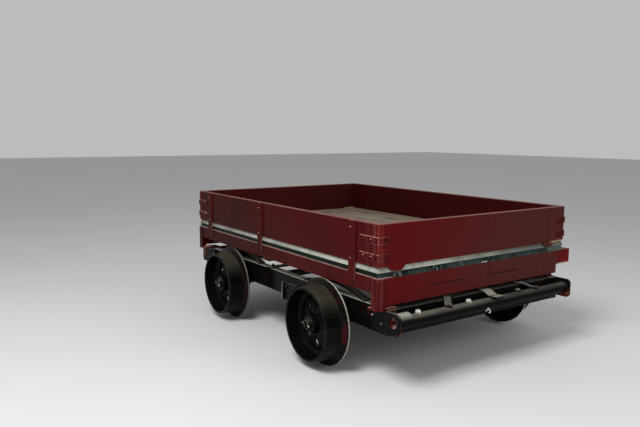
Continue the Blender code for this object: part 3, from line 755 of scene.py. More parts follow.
wear_finish(make_material("plank_wood", plank_finish), "floor_wood", "floor")
wear_finish(make_material("bearer_wood", bearer_finish), "floor_wood", "bearer")

# %% [markdown]
# ## Black gloss on the frame
# The channels and plates are black gloss. From above they look grey-brown, because dust lies on every
# upper face, and at corners the red primer or bare steel shows through. Dust could be a layer of its own
# over the mesh. Here the direction of a face decides how much it holds, which costs no geometry, and noise
# breaks the layer up.

# %% Black recipe
BLACK = paint(7, 8, 7)
BLACK_BROWN = paint(18, 16, 14)
# much paler than dust would be: painted light on the side channels' tops in the body's shade
CHANNEL_DUST_AND_LIGHT = paint(222, 219, 207)
SPRING_DUST = paint(150, 147, 135)
IRON_DUST = paint(92, 88, 78)
# darkened as painted shade under the body
HEADSTOCK_DUST_SHADED = paint(52, 50, 46)
# paler as painted light where it lies on the drawbar and the stays; the dull nut takes it as plain dust
STRAP_DUST = paint(118, 115, 106)
PRIMER_RED = paint(76, 14, 20)
PRIMER_PINK = paint(184, 118, 112)
RUST = paint(104, 50, 34)
BARE_STEEL = paint(172, 168, 156)


def black(place, dust_colour, cover, even=0.35):
    """Black gloss. The dust lies on upper faces; cover says how much, and even how little it breaks up."""
    normal_z = part(own_normal(place), "Z")
    cloud = noise(place, 7.0, 5.0)
    speck = noise(place, 230.0, 3.0)
    layer = even + (1 - even) * rise(cloud + speck * 0.35, 0.45, 0.72)
    dust = rise(normal_z, 0.30, 0.90) * layer * cover
    film = rise(cloud, 0.48, 0.70) * 0.5
    worn = corner_wear(place, 0.0018) * rise(noise(place, 38.0, 4.0), 0.50, 0.66)
    return {
        "Base Color": layered(BLACK, (
            (film, 1.0, BLACK_BROWN),
            (rise(noise(place, 26.0, 5.0), 0.60, 0.72), 0.4, PRIMER_RED),
            (worn, 0.55, BARE_STEEL),
            (dust, 1.0, dust_colour),
        )),
        "Roughness": 0.16 + 0.15 * film + 0.5 * dust + 0.15 * worn,
        "Specular IOR Level": 0.05,
        "Normal": soft_bump(place, cloud * 0.6 + speck * 0.2, 0.0006, 0.3),
    }


print("the black recipe takes a dust colour and how much of it there is")

# %% [markdown]
# The cross channels carry the drawbar and the stays, which stand higher, out from under the body: the
# channels' dust is painted dark as shade and the straps' dust paler as painted light. The hangers have one
# bright folded edge. The end plates show pink primer in their holes and rust on the inside, where water
# runs off the tube. Each of these is the black recipe with a mask laid over it.

# %% Places on the frame
CHANNEL_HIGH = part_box("side_frame_right")[1]
CHANNEL_WEB_Y = CHANNEL_HIGH.y
TUBE_LOW, TUBE_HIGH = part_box("end_tube_front")
TUBE_X = (TUBE_LOW.x + TUBE_HIGH.x) / 2
TUBE_R = 0.030
TUBE_T = 0.005
# the sleeve is the widest part of the tube, so the tube's box is the sleeve's
SLEEVE_R = (TUBE_HIGH.x - TUBE_LOW.x) / 2
SLEEVE_L = 0.080
SLEEVE_Z = TUBE_HIGH.z - SLEEVE_R
TUBE_Z = SLEEVE_Z - 0.006
print("tubes at x", round(TUBE_X, 3), "and z", round(TUBE_Z, 3), "m")

# %% Channels, headstocks and hangers
STRAP_TOP_Z = CHANNEL_HIGH.z + 0.002
HANGER_EDGE = 0.0025


def channel_finish(place):
    """Dust painted far paler under the body, as painted light in its shade, and plainer dust on the ends
    that stick out.
    """
    x = part(place, "X")
    # the paler dust under the body is painted light
    under_body_brightened = 1 - rise(size_of(x), BODY_EDGE["front"] - 0.070, BODY_EDGE["front"] - 0.050)
    return black(place, mix(under_body_brightened, IRON_DUST, CHANNEL_DUST_AND_LIGHT), 1.0, 0.85)


def headstock_finish(place):
    """Dust painted dark as shade on the cross channels, and paler dust painted as lit on the drawbar and
    the stays.
    """
    x, z = split(place, "XZ")
    on_strap = rise(z, STRAP_TOP_Z, STRAP_TOP_Z + 0.002)
    past_web = rise(size_of(x), CHANNEL_HIGH.x - 0.001, CHANNEL_HIGH.x + 0.001)
    strap = place.maths("MAXIMUM", on_strap, past_web)
    return black(place, mix(strap, HEADSTOCK_DUST_SHADED, STRAP_DUST), 1.0)


def hanger_finish(place):
    """Black, with the rear folded edge rubbed to bright steel."""
    rear_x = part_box("hanger_left")[0].x
    x, y = split(place, "XY")
    finish = black(place, IRON_DUST, 0.8)
    edge = 1 - rise(x, rear_x + HANGER_EDGE, rear_x + HANGER_EDGE + 0.001)
    edge = edge * rise(size_of(y), CHANNEL_WEB_Y + 0.014, CHANNEL_WEB_Y + 0.018)
    edge = edge * rise(noise(place, 60.0), 0.30, 0.42)
    finish["Base Color"] = mix(edge, finish["Base Color"], BARE_STEEL)
    return finish


print("straps are told by standing above", round(STRAP_TOP_Z, 3), "m")

# %% End plates
PLATE_INNER_Y = CHANNEL_WEB_Y + 0.0015
PLATE_HOLE_R = 0.025


def hole_distance(place, z_axis):
    """Distance from the axis of the end tubes or of their plates' holes, at either end."""
    x, z = split(place, "XZ")
    return length_of(place.node("CombineXYZ", None, {"X": size_of(x) - TUBE_X, "Z": z - z_axis}))


def plate_finish(place):
    """Black, with pink primer in the hole, rust on the inside and red primer at the low outer corner."""
    x, y, z = split(place)
    finish = black(place, IRON_DUST, 0.8)
    patch = noise(place, 45.0, 4.0)
    bore = 1 - rise(hole_distance(place, SLEEVE_Z), PLATE_HOLE_R, PLATE_HOLE_R + 0.0012)
    primer = mix(rise(size_of(x), TUBE_X - 0.012, TUBE_X + 0.004), PRIMER_RED, PRIMER_PINK)
    corner = rise(size_of(x), TUBE_X + 0.010, TUBE_X + 0.030)
    corner = corner * (1 - rise(z, TUBE_Z - 0.044, TUBE_Z - 0.030))
    inner = 1 - rise(size_of(y), PLATE_INNER_Y, PLATE_INNER_Y + 0.001)
    inner = inner * rise(size_of(x), TUBE_X - 0.030, TUBE_X - 0.020)
    finish["Base Color"] = layered(finish["Base Color"], (
        (bore, rise(patch, 0.30, 0.55), primer),
        (corner * rise(patch, 0.40, 0.55), 0.8, PRIMER_RED),
        (inner * rise(patch, 0.34, 0.50), 1 - rise(z, TUBE_Z - 0.012, TUBE_Z + 0.004), RUST),
    ))
    return finish


print("plate holes are", 2 * PLATE_HOLE_R, "m across")

# %% Black on the nodes
wear_finish(make_material("channel_black", channel_finish), "black_paint", "side_frame", "frame_tie")
wear_finish(make_material("spring_black", black, SPRING_DUST, 1.0, 0.6), "black_paint", "spring")
wear_finish(make_material("headstock_black", headstock_finish), "black_paint", "headstock")
wear_finish(make_material("hanger_black", hanger_finish), "black_paint", "hanger")
wear_finish(make_material("plate_black", plate_finish), "black_paint", "end_plate")
iron_black = make_material("iron_black", black, IRON_DUST, 0.6)
wear_finish(iron_black, "cast_iron", "axle_bearing")

# %% [markdown]
# ## The end tubes
# These tubes serve as steps, so their tops are rubbed, and a brown-grey painted highlight lies over them
# while their undersides stay black. The painted sheen is strongest at the left, where a short bright sleeve
# ends the tube, and fades towards the right. The face direction makes the gradient, and noise stretched
# along the tube draws the scuffs.

# %% Tube recipe
# painted highlight and wear on the tube's top, brighter at the left and duller at the right
TUBE_SHEEN_AND_WEAR = paint(88, 84, 76)
TUBE_DULL_SHEEN = paint(62, 60, 55)
SLEEVE_BRIGHT = paint(142, 140, 132)


def tube_finish(place):
    """Black below, rubbed and painted with a highlight on top, with a brighter sleeve at the left end and
    primer inside.
    """
    y = part(place, "Y")
    normal_z = part(own_normal(place), "Z")
    scuff = noise(place, 40.0, 5.0, (1.0, 0.12, 1.0))
    cloud = noise(place, 8.0, 4.0)
    # the lighter top is a painted highlight as well as rubbing
    top = rise(normal_z, 0.25, 1.00) * (0.6 + 0.4 * rise(cloud + scuff * 0.5, 0.45, 0.85))
    sleeve = 1 - rise(y, SLEEVE_L - CHANNEL_WEB_Y - 0.001, SLEEVE_L - CHANNEL_WEB_Y + 0.001)
    rubbed = mix(rise(y, -0.35, 0.25), TUBE_SHEEN_AND_WEAR, TUBE_DULL_SHEEN)
    rubbed = mix(sleeve, rubbed, SLEEVE_BRIGHT)
    inside = 1 - rise(hole_distance(place, TUBE_Z), TUBE_R - TUBE_T + 0.001, TUBE_R - TUBE_T + 0.002)
    colour = mix(top, BLACK, rubbed)
    return {
        "Base Color": mix(inside * rise(scuff, 0.35, 0.6), colour, PRIMER_PINK),
        "Roughness": 0.30 + 0.2 * scuff + 0.2 * top,
        "Specular IOR Level": 0.03,
        "Normal": soft_bump(place, scuff, 0.0005, 0.4),
    }


wear_finish(make_material("worn_tube", tube_finish), "worn_tube", "end_tube")

# %% [markdown]
# ## Wheels and axles
# The wheels are black. Dust clings to the barrel's top, the rim's lip and the flange's tip are rubbed
# bright, and primer shows red on the flange here and there. A texture wrapped round the wheel would need
# a seam. All of those marks are rings, so the distance from the axle chooses them without one, and the
# recipe is told where the axle is.

# %% Wheel recipe
WHEEL_LOW, WHEEL_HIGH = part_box("wheel_front_right")
WHEEL_R = (WHEEL_HIGH.z - WHEEL_LOW.z) / 2
FLANGE_H = 0.035
TREAD_R = WHEEL_R - FLANGE_H
WHEEL_DUST = paint(58, 54, 45)
FLANGE_BRIGHT = paint(186, 180, 168)
ROOT_RED = paint(72, 8, 16)


def wheel_finish(place, axle, rim_share):
    """Black, with dust on the barrel, red on the flange's side and a bright rim."""
    x, z = split(place, "XZ")
    normal_z = part(own_normal(place), "Z")
    radius = length_of(place.node("CombineXYZ", None, {"X": x - axle.x, "Z": z - axle.z}))
    cloud = noise(place, 9.0, 5.0)
    speck = noise(place, 210.0, 3.0)
    scrape = noise(place, 50.0, 4.0)
    dust = rise(normal_z, 0.30, 0.90) * rise(radius, TREAD_R - 0.008, TREAD_R - 0.005)
    dust = dust * (0.5 + 0.5 * rise(cloud + speck * 0.3, 0.45, 0.80))
    tip = rise(radius, WHEEL_R - 0.0028, WHEEL_R - 0.0006) * rise(scrape, 0.28, 0.40)
    root = between(radius, TREAD_R + 0.004, TREAD_R + 0.026, 0.004)
    root = root * rise(noise(place, 7.0, 6.0), 0.53, 0.63)
    lip = corner_wear(place, 0.0022) * rise(cloud + speck * 0.3, 0.5, 0.75)
    return {
        "Base Color": layered(BLACK, (
            (rise(cloud, 0.4, 0.7), 0.4, BLACK_BROWN),
            (dust, 0.85, WHEEL_DUST),
            (root, 0.5 * rim_share, ROOT_RED),
            (lip, 0.3, FLANGE_BRIGHT),
            (tip, 0.9 * rim_share, FLANGE_BRIGHT),
        )),
        "Metallic": tip * (0.3 * rim_share),
        "Roughness": 0.14 + 0.12 * rise(cloud, 0.4, 0.7) + 0.45 * dust + 0.2 * tip,
        "Specular IOR Level": 0.05,
        "Normal": soft_bump(place, cloud + speck * 0.4, 0.0008, 0.3),
    }


print("treads are", round(2 * TREAD_R, 3), "m across")

# %% Wheels on the nodes
# how much of the rim is rubbed: the rear pair has kept more of its paint
RIM_SHARES = {"front": 1.0, "rear": 0.35}

for end, share in RIM_SHARES.items():
    wheel_black = make_material("wheel_black_" + end, wheel_finish, AXLES["wheelset_" + end], share)
    wear_finish(wheel_black, "wheel_paint", "wheel_" + end)

# %% Axle recipe
AXLE_GREY = paint(70, 66, 62)
AXLE_OIL = paint(26, 23, 21)


def axle_finish(place):
    """Grey steel with rings from the lathe, dark where oil has crept along it."""
    cloud = noise(place, 12.0, 5.0)
    rings = noise(place, 160.0, 3.0, (0.1, 1.0, 0.1))
    oily = rise(cloud, 0.42, 0.62)
    return {
        "Base Color": mix(oily, AXLE_GREY, AXLE_OIL),
        "Metallic": 0.5 - 0.3 * oily,
        "Roughness": 0.42 + 0.2 * rings - 0.1 * oily,
        "Normal": soft_bump(place, rings, 0.0004, 0.3),
    }


wear_finish(make_material("axle_steel", axle_finish), "axle_steel", "axle_front", "axle_rear")

# %% [markdown]
# ## Bolts, nuts and washers
# Every fastener here is a turned form: a profile of radii and heights swept round an axis. With six sides
# it is a hexagon nut, with four a square one, and with sixteen a domed coach bolt. Blender's own cylinders
# would need a bevel and a transform for each, so the rings are made by hand. Each form starts a little
# inside the face that it sits on, so that no gap shows under it.

# %% Rings and skins
SINK = 0.0005


def axes_of(along):
    """A direction of length one, and two directions square to it."""
    along = Vector(along).normalized()
    side = along.orthogonal().normalized()
    return along, side, along.cross(side)


def skin(bm, rings, closed=False):
    """Joins rings of vertices with faces. The last ring joins the first, or both ends get a cap."""
    pairs = list(zip(rings, rings[1:]))
    if closed:
        pairs.append((rings[-1], rings[0]))
    else:
        bm.faces.new(rings[0][::-1])
        bm.faces.new(rings[-1])
    for low, high in pairs:
        for i in range(len(low)):
            j = (i + 1) % len(low)
            bm.faces.new((low[i], low[j], high[j], high[i]))


def ring_of(bm, centre, side, across, radius, sides, turn=0.0):
    """A ring of vertices in the plane of two directions."""
    ring = []
    for i in range(sides):
        angle = turn + math.tau * i / sides
        ring.append(bm.verts.new(centre + (side * math.cos(angle) + across * math.sin(angle)) * radius))
    return ring


def turned(bm, place, along, profile, sides, turn=0.0):
    """Adds a closed form whose profile lists (radius, height) from its base to its tip."""
    along, side, across = axes_of(along)
    skin(bm, [ring_of(bm, Vector(place) + along * height, side, across, radius, sides, turn)
              for radius, height in profile])


print("turned forms start", 1000 * SINK, "mm inside the face under them")

# %% Bent rods and weld beads
BEAD_STEPS = 72
BEAD_RIPPLES = 24
RIPPLE_DEPTH = 0.16


def rod(bm, points, radius, sides=10):
    """A round bar bent through a list of points."""
    points = [Vector(point) for point in points]
    side = (points[1] - points[0]).orthogonal()
    rings = []
    for i, point in enumerate(points):
        along = (points[min(i + 1, len(points) - 1)] - points[max(i - 1, 0)]).normalized()
        side = (side - along * side.dot(along)).normalized()
        rings.append(ring_of(bm, point, side, along.cross(side), radius, sides))
    skin(bm, rings)


def weld_bead(bm, centre, along, ring_r, bead_r):
    """A rippled bead round a bar. Along is the bar's direction."""
    along, side, across = axes_of(along)
    rings = []
    for i in range(BEAD_STEPS):
        angle = math.tau * i / BEAD_STEPS
        out = side * math.cos(angle) + across * math.sin(angle)
        own_r = bead_r * (1.0 + RIPPLE_DEPTH * math.cos(BEAD_RIPPLES * angle))
        rings.append(ring_of(bm, Vector(centre) + out * ring_r, along, out, own_r, 8))
    skin(bm, rings, True)


print("a weld bead has", BEAD_RIPPLES, "ripples")

# %% Nuts, washers, studs and coach bolts
# a washer's radius and thickness and a stud's radius, as shares of the radius of the nut between them
WASHER_SHARE = 1.35
WASHER_T_SHARE = 0.22
STUD_SHARE = 0.56
# a stud's thread: pitch and depth, as shares of its radius
PITCH_SHARE = 0.3
THREAD_SHARE = 0.88
DOME_SHARE = 0.42
DOME_STEPS = 5


def washer(bm, place, along, radius, thick):
    """A flat ring with a chamfer."""
    turned(bm, place, along, [(radius, -SINK), (radius, thick * 0.7), (radius * 0.94, thick)], 20)


def nut(bm, place, along, radius, high, sides=6, turn=0.0):
    """A nut or a bolt's head with a chamfered top."""
    turned(bm, place, along, [(radius, -SINK), (radius, high * 0.82), (radius * 0.87, high)], sides, turn)


def stud(bm, place, along, radius, high):
    """The end of a bolt, with a few turns of thread and a chamfer."""
    pitch = radius * PITCH_SHARE
    turns = int(high / pitch)
    profile = [(radius, 0.0)]
    for i in range(turns):
        profile.append((radius * THREAD_SHARE, (i + 0.5) * pitch))
        profile.append((radius, (i + 1) * pitch))
    profile.append((radius * 0.75, turns * pitch + radius * 0.15))
    turned(bm, place, along, profile, 14)


def coach_head(bm, place, along, radius):
    """A low dome."""
    profile = [(radius, -SINK)]
    for i in range(DOME_STEPS):
        angle = math.pi / 2 * i / DOME_STEPS
        profile.append((radius * math.cos(angle), DOME_SHARE * radius * math.sin(angle)))
    turned(bm, place, along, profile, 16)


def bolted(bm, place, along, radius, high, stud_high=0.0, turn=0.0):
    """A washer, a hexagon on it and, where asked, the bolt's end through it."""
    base = Vector(place)
    step = Vector(along).normalized()
    washer_t = radius * WASHER_T_SHARE
    washer(bm, base, along, radius * WASHER_SHARE, washer_t)
    nut(bm, base + step * washer_t, along, radius, high, 6, turn)
    if stud_high:
        stud(bm, base + step * (washer_t + high), along, radius * STUD_SHARE, stud_high)


print("a coach bolt's dome stands", DOME_SHARE, "of its radius high")

# %% [markdown]
# There are dozens of fasteners, each only a few millimetres across, so all of one kind become one mesh.
# Its faces are shaded smooth up to an angle, which keeps a hexagon's edges sharp and its dome round. The
# mesh then rides on a body, because an axle's nut has to turn with its wheels.

# %% From a mesh to a piece
SHARP_ANGLE = math.radians(35)


def add_piece(name, bm, material, body):
    """Makes the mesh an object that rides on a body and takes a finish."""
    mesh = bpy.data.meshes.new(name)
    bm.normal_update()
    bm.to_mesh(mesh)
    bm.free()
    mesh.shade_smooth()
    mesh.set_sharp_from_angle(angle=SHARP_ANGLE)
    mesh.materials.append(material)
    made = bpy.data.objects.new(name, mesh)
    bpy.context.scene.collection.objects.link(made)
    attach(made, body)
    reach = [round(max(abs(vertex.co[axis]) for vertex in mesh.vertices), 4) for axis in range(3)]
    print(name, len(mesh.polygons), "faces on", body, "reach", reach)
    return made


print("fasteners are ready")

# %% [markdown]
# ## Fasteners on the boards
# Each iron is held by two coach bolts, one near its top and one just above the deck. Each band round a
# front or rear corner has two more. Their heads were painted over with the boards, and the upper half of
# each dome gets a pale painted highlight, broken by patches of rubbed paint.

# %% Coach bolts on irons and bands
COACH_R = 0.0075
IRON_T = 0.008
IRON_BOLT_BACK = 0.034
IRON_BOLTS_Z = (BOARD_TOP_Z - 0.038, DECK_Z + 0.014)
IRON_BOARDS = ("side_board_long_", "side_board_short_", "corner_board_rear_")
BAND_T = 0.0043
BAND_BOLTS_IN = (0.051, 0.106)
# the bolts stand close to the bands' middles
BAND_BOLT_DROP = 0.0175
BAND_BOLTS_Z = [top - BAND_BOLT_DROP for top in BAND_TOPS_Z]


def head_highlight(place):
    """Maroon, with a pale painted highlight, partly rubbed paint, where a head faces up."""
    patch = noise(place, 60.0, 3.0)
    # pale painted highlight on the upper half of each dome
    upper = rise(part(own_normal(place), "Z"), 0.0, 0.4)
    return {
        "Base Color": mix(upper * rise(patch, 0.30, 0.55) * 0.7, MAROON_SIDE, WORN_PALE),
        "Roughness": 0.45 + 0.1 * patch,
        "Specular IOR Level": 0.1,
    }


maroon_with_head_highlight = make_material("maroon_with_head_highlight", head_highlight)
for side, sy in SIDES.items():
    bm = bmesh.new()
    for board in IRON_BOARDS:
        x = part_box(board + side)[1].x - IRON_BOLT_BACK
        for z in IRON_BOLTS_Z:
            coach_head(bm, (x, sy * (BODY_SIDE_Y + IRON_T), z), (0, sy, 0), COACH_R)
    for end, sx in ENDS.items():
        for inset in BAND_BOLTS_IN:
            x = BODY_EDGE[end] - sx * inset
            for z in BAND_BOLTS_Z:
                coach_head(bm, (x, sy * (BODY_SIDE_Y + BAND_T), z), (0, sy, 0), COACH_R)
    add_piece("board_bolts_" + side, bm, maroon_with_head_highlight, TROLLEY)

# %% [markdown]
# ## Fasteners on the underframe
# The end plates are bolted to the channels with three hexagon bolts each. Two bolts hold each bearing from
# below, two coach bolts hold each spring, and the tie and the hangers have their own. A fitter leaves each
# head at its own angle, so the heads are turned by an amount that depends on their place. That needs no
# random numbers, and the result is the same at each run.

# %% Bolts of the end plates
PLATE_BOLT_R = 0.0090
PLATE_BOLT_H = 0.007
# pale on the bolts' upper faces: a painted glint, with some dust
BOLT_DUST_AND_GLINT = paint(150, 150, 146)
# distance in from the channel's end, and down from its top
PLATE_BOLTS = ((0.104, 0.045), (0.038, 0.075), (0.042, 0.010))

bm = bmesh.new()
for end, sx in ENDS.items():
    for side, sy in SIDES.items():
        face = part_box("end_plate_" + end + "_" + side)[1 if sy > 0 else 0].y
        for back, drop in PLATE_BOLTS:
            place = (sx * (CHANNEL_HIGH.x - back), face, CHANNEL_HIGH.z - drop)
            bolted(bm, place, (0, sy, 0), PLATE_BOLT_R, PLATE_BOLT_H, turn=back * 7)
bolt_glint_grey = make_material("bolt_glint_grey", black, BOLT_DUST_AND_GLINT, 1.0, 0.5)
add_piece("plate_bolts", bm, bolt_glint_grey, TROLLEY)

# %% Bolts of the bearings
BEARING_BOLT_X = 0.068
BEARING_BOLT_R = 0.0095
BEARING_BOLT_H = 0.008
BEARING_STUD_H = 0.009
BEARING_FOOT_T = 0.012

bm = bmesh.new()
for end in ENDS:
    for side in SIDES:
        low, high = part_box("axle_bearing_" + end + "_" + side)
        middle = (low + high) / 2
        for back in (-BEARING_BOLT_X, BEARING_BOLT_X):
            under = (middle.x + back, middle.y, high.z - BEARING_FOOT_T)
            bolted(bm, under, (0, 0, -1), BEARING_BOLT_R, BEARING_BOLT_H, BEARING_STUD_H, 0.3)
add_piece("bearing_bolts", bm, iron_black, TROLLEY)

# %% Bolts of the springs
SPRING_RISE = 0.041
SPRING_BOLT_IN = 0.020
SPRING_BOLT_R = 0.009


def spring_bolts(bm, box):
    """A bolt near each end. The spring bows as a parabola, which gives a bolt's height and its lean."""
    low, high = box
    half = (high.x - low.x) / 2
    middle = (low + high) / 2
    share = 1 - SPRING_BOLT_IN / half
    top = high.z - SPRING_RISE * share * share
    slope = 2 * SPRING_RISE * share / half
    for out in (-1, 1):
        coach_head(bm, (middle.x + out * half * share, middle.y, top), (out * slope, 0, 1), SPRING_BOLT_R)


bm = bmesh.new()
for end in ENDS:
    for side in SIDES:
        spring_bolts(bm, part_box("spring_" + end + "_" + side))
print("spring bolts:", len(bm.faces), "faces")

# %% Bolts of the tie and the hangers
TIE_BOLT_IN = 0.030
TIE_BOLT_R = 0.010
TIE_BOLT_H = 0.008
TIE_STUD_H = 0.006
HANGER_FACE_OUT = 0.0103
HANGER_BOLT_R = 0.009
HANGER_BOLT_H = 0.007
# distance from the hanger's rear edge, and down from its top
HANGER_BOLTS = ((0.030, 0.022), (0.107, 0.022), (0.107, 0.060))

tie_low, tie_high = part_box("frame_tie")
tie_x = (tie_low.x + tie_high.x) / 2
for side, sy in SIDES.items():
    place = (tie_x, sy * (tie_high.y - TIE_BOLT_IN), tie_high.z)
    bolted(bm, place, (0, 0, 1), TIE_BOLT_R, TIE_BOLT_H, TIE_STUD_H, 0.2)
    low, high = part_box("hanger_" + side)
    for back, drop in HANGER_BOLTS:
        place = (low.x + back, sy * (CHANNEL_WEB_Y + HANGER_FACE_OUT), high.z - drop)
        bolted(bm, place, (0, sy, 0), HANGER_BOLT_R, HANGER_BOLT_H, turn=back * 9)
add_piece("frame_bolts", bm, iron_black, TROLLEY)

# %% [markdown]
# The drawbar and the stays are riveted where they rest on the end tube, and the tube is welded to its end
# plates. A weld bead isn't smooth: its ripples catch the light, so they are in the mesh.

# %% Rivets of the drawbar and the stays
STRAP_T = 0.009
RIVET_X = 1.030
RIVET_R = 0.0075
DRAWBAR_Y = 0.040
# distances from the drawbar's middle: two on the drawbar, one on each stay
RIVETS_ACROSS = (-0.016, 0.016, -0.338, 0.338)

bm = bmesh.new()
rivet_z = TUBE_Z + TUBE_R + STRAP_T + 0.0003
for sx in ENDS.values():
    for across in RIVETS_ACROSS:
        coach_head(bm, (sx * RIVET_X, DRAWBAR_Y + across, rivet_z), (0, 0, 1), RIVET_R)
add_piece("strap_rivets", bm, iron_black, TROLLEY)

# %% Welds between tubes and plates
BEAD_R = 0.0036

bm = bmesh.new()
for sx in ENDS.values():
    weld_bead(bm, (sx * TUBE_X, BEAD_R - CHANNEL_WEB_Y, SLEEVE_Z), (0, 1, 0), SLEEVE_R, BEAD_R)
    weld_bead(bm, (sx * TUBE_X, CHANNEL_WEB_Y - BEAD_R, TUBE_Z), (0, 1, 0), TUBE_R, BEAD_R)
add_piece("tube_welds", bm, iron_black, TROLLEY)

# %% [markdown]
# ## Bright fittings
# Two square nuts on the front tube and a bent pin under it are new, unpainted and almost white. They are
# small, but they are the brightest things on the black frame. A third nut is old and dusty. The pin is a
# rod bent through points on an arc, which keeps its hook round.

# %% Bright steel
BRIGHT = paint(196, 193, 184)
BRIGHT_DULL = paint(120, 116, 108)


def bright_finish(place):
    """New steel with dull patches."""
    cloud = noise(place, 60.0, 4.0)
    return {
        "Base Color": mix(rise(cloud, 0.50, 0.70), BRIGHT, BRIGHT_DULL),
        "Metallic": 0.3,
        "Roughness": 0.4,
        "Normal": soft_bump(place, cloud, 0.0004, 0.3),
    }


bright_steel = make_material("bright_steel", bright_finish)
print("made", bright_steel.name)

# %% Nuts on the front tube
BRIGHT_NUTS_Y = (-0.489, -0.142)
NUT_HALF_DIAGONAL = 0.018
NUT_H = 0.012
NUT_BACK = 0.006
NUT_LET_IN = 0.002
TUBE_STUD_R = 0.006
TUBE_STUD_H = 0.005


def tube_nut(bm, y):
    """A square nut with its stud, let into the top of the front tube."""
    place = Vector((TUBE_X - NUT_BACK, y, TUBE_Z + TUBE_R - NUT_LET_IN))
    nut(bm, place, (0, 0, 1), NUT_HALF_DIAGONAL, NUT_H, 4, math.pi / 4)
    stud(bm, place + Vector((0, 0, NUT_H)), (0, 0, 1), TUBE_STUD_R, TUBE_STUD_H)


bm = bmesh.new()
for y in BRIGHT_NUTS_Y:
    tube_nut(bm, y)
print("two nuts:", len(bm.faces), "faces")

# %% The bent pin
PIN_R = 0.0032
PIN_TOP = (TUBE_X + 0.026, -0.030, 0.330)
HOOK_MIDDLE = Vector((TUBE_X + 0.0295, -0.034, 0.309))
HOOK_R = 0.011
HOOK_LEAN = 0.004
HOOK_STEPS = 12
HOOK_STEP = math.radians(20)

pin = [PIN_TOP]
for i in range(HOOK_STEPS + 1):
    angle = math.pi - HOOK_STEP * i
    across = HOOK_R * math.cos(angle)
    pin.append(HOOK_MIDDLE + Vector((HOOK_LEAN * math.cos(angle), across, HOOK_R * math.sin(angle))))
rod(bm, pin, PIN_R)
add_piece("bright_fittings", bm, bright_steel, TROLLEY)

# %% The dull nut
DULL_NUT_Y = 0.243

bm = bmesh.new()
tube_nut(bm, DULL_NUT_Y)
dull_steel = make_material("dull_steel", black, STRAP_DUST, 1.0)
add_piece("dull_nut", bm, dull_steel, TROLLEY)

# %% [markdown]
# ## Screws and nails
# The feet are held to the skirts by three cup-washered screws on each outer face, and one bolt shows low on
# the front skirt. Two nails hold each plank of the floor to each bearer, staggered so that the plank
# doesn't split along one line of grain.

# %% Screws of the feet
# distance in from the foot's outer corner, height, and the cup's radius
FOOT_SCREWS = ((0.0095, 0.521, 0.0075), (0.0190, 0.437, 0.0055), (0.0320, 0.416, 0.0055))
SKIRT_BOLT_Y = 0.260
SKIRT_BOLT_Z = 0.440
SKIRT_BOLT_R = 0.009


def cup_screw(rings, heads, place, sx, radius):
    """A cup washer on a face towards +X or -X, and the dished head of the screw in it."""
    cup = [(radius, -SINK), (radius, 0.0008), (radius * 0.72, 0.0016)]
    head = [(radius * 0.52, 0.0), (radius * 0.52, 0.0005), (radius * 0.2, 0.0003)]
    turned(rings, place, (sx, 0, 0), cup, 18)
    turned(heads, place + Vector((sx * 0.0014, 0, 0)), (sx, 0, 0), head, 14)


rings = bmesh.new()
heads = bmesh.new()
for end, sx in ENDS.items():
    for side, sy in SIDES.items():
        low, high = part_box("corner_foot_" + end + "_" + side)
        face = high.x if sx > 0 else low.x
        outer = high.y if sy > 0 else low.y
        for inset, z, radius in FOOT_SCREWS:
            cup_screw(rings, heads, Vector((face, outer - sy * inset, z)), sx, radius)
coach_head(rings, (FRONT_X, SKIRT_BOLT_Y, SKIRT_BOLT_Z), (1, 0, 0), SKIRT_BOLT_R)
add_piece("foot_rings", rings, maroon_side, TROLLEY)
add_piece("foot_screws", heads, iron_black, TROLLEY)

# %% Nails of the floor
NAIL_R = 0.0038
NAILS_ACROSS = (-0.055, 0.055)
NAIL_STAGGER = 0.012
NAIL_HEAD = [(NAIL_R, -SINK), (NAIL_R, 0.0004), (NAIL_R * 0.7, 0.0010)]

bm = bmesh.new()
for bearer in ("bearer_front", "bearer_mid", "bearer_rear"):
    low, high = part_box(bearer)
    for plank in range(PLANKS):
        plank_y = FLOOR_LOW.y + (plank + 0.5) * PLANK_W
        for i, across in enumerate(NAILS_ACROSS):
            x = (low.x + high.x) / 2 + (NAIL_STAGGER if (plank + i) % 2 else -NAIL_STAGGER)
            turned(bm, (x, plank_y + across, FLOOR_HIGH.z), (0, 0, 1), NAIL_HEAD, 10)
add_piece("floor_nails", bm, iron_black, TROLLEY)

# %% [markdown]
# ## Axle ends
# Each wheel is held by a castle nut over a washer. A split pin goes through the nut's slots and the axle,
# so the nut can't turn off while the axle spins. The crown's lugs are six small blocks set on the nut,
# which saves cutting slots into it.

# %% Castle crown
LUGS = 6
# half a lug's width, as a share of the way from one lug to the next
LUG_HALF = 0.36
CROWN_INNER_SHARE = 0.72


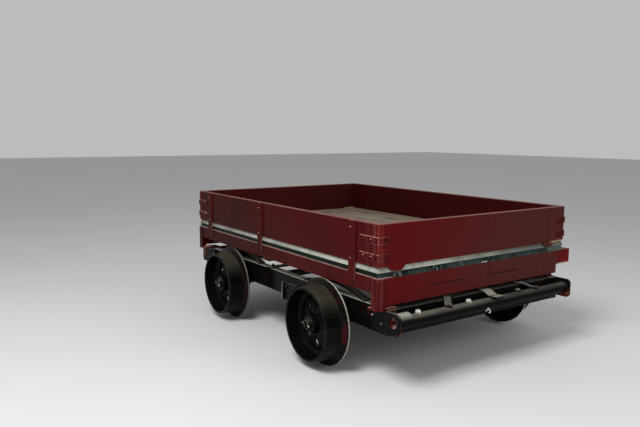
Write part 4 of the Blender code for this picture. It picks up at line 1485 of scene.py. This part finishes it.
def castle_crown(bm, place, along, radius, high):
    """Six upright lugs round the top of a nut, with slots between them."""
    along, side, across = axes_of(along)
    inner = radius * CROWN_INNER_SHARE
    outline = ((-LUG_HALF, radius), (LUG_HALF, radius), (LUG_HALF, inner), (-LUG_HALF, inner))
    for lug in range(LUGS):
        rings = []
        for lift in (-SINK, high):
            ring = []
            for share, r in outline:
                angle = math.tau * (lug + share) / LUGS
                out = side * math.cos(angle) + across * math.sin(angle)
                ring.append(bm.verts.new(Vector(place) + along * lift + out * r))
            rings.append(ring)
        skin(bm, rings)


print("a castle nut has", LUGS, "lugs")

# %% Castle nuts and split pins
# distances in from the axle's tip
AXLE_WASHER_IN = 0.016
AXLE_NUT_IN = 0.012
AXLE_WASHER_R = 0.036
AXLE_WASHER_T = 0.004
AXLE_NUT_R = 0.030
AXLE_NUT_H = 0.011
CROWN_R = 0.021
CROWN_H = 0.009
AXLE_TIP = [(0.014, -0.001), (0.014, 0.008), (0.011, 0.010)]
SPLIT_PIN_R = 0.0022
SPLIT_PIN_OUT = 0.005
# the split pin's bends: along X and up, from the middle of the nut
SPLIT_PIN_BENDS = ((-0.026, 0.010), (-0.024, 0.0), (0.024, 0.0), (0.030, -0.008))

for end in ENDS:
    bm = bmesh.new()
    pins = bmesh.new()
    axle = AXLES["wheelset_" + end]
    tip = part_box("axle_" + end)[1].y
    for sy in SIDES.values():
        out = (0, sy, 0)
        washer(bm, (axle.x, sy * (tip - AXLE_WASHER_IN), axle.z), out, AXLE_WASHER_R, AXLE_WASHER_T)
        base = Vector((axle.x, sy * (tip - AXLE_NUT_IN), axle.z))
        nut(bm, base, out, AXLE_NUT_R, AXLE_NUT_H)
        crown = base + Vector((0, sy * AXLE_NUT_H, 0))
        castle_crown(bm, crown, out, CROWN_R, CROWN_H)
        turned(bm, crown, out, AXLE_TIP, 20)
        middle = crown + Vector((0, sy * SPLIT_PIN_OUT, 0))
        rod(pins, [middle + Vector((x, 0, z)) for x, z in SPLIT_PIN_BENDS], SPLIT_PIN_R)
    add_piece("axle_nuts_" + end, bm, iron_black, "wheelset_" + end)
    add_piece("split_pins_" + end, pins, bright_steel, "wheelset_" + end)

# %% [markdown]
# ## The last lines
# The box round everything that is drawn is printed. Nothing that was added may make the
# trolley bigger.

# %% Sizes and finish
low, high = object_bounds()
print("visual box", [round(v, 3) for v in high - low])
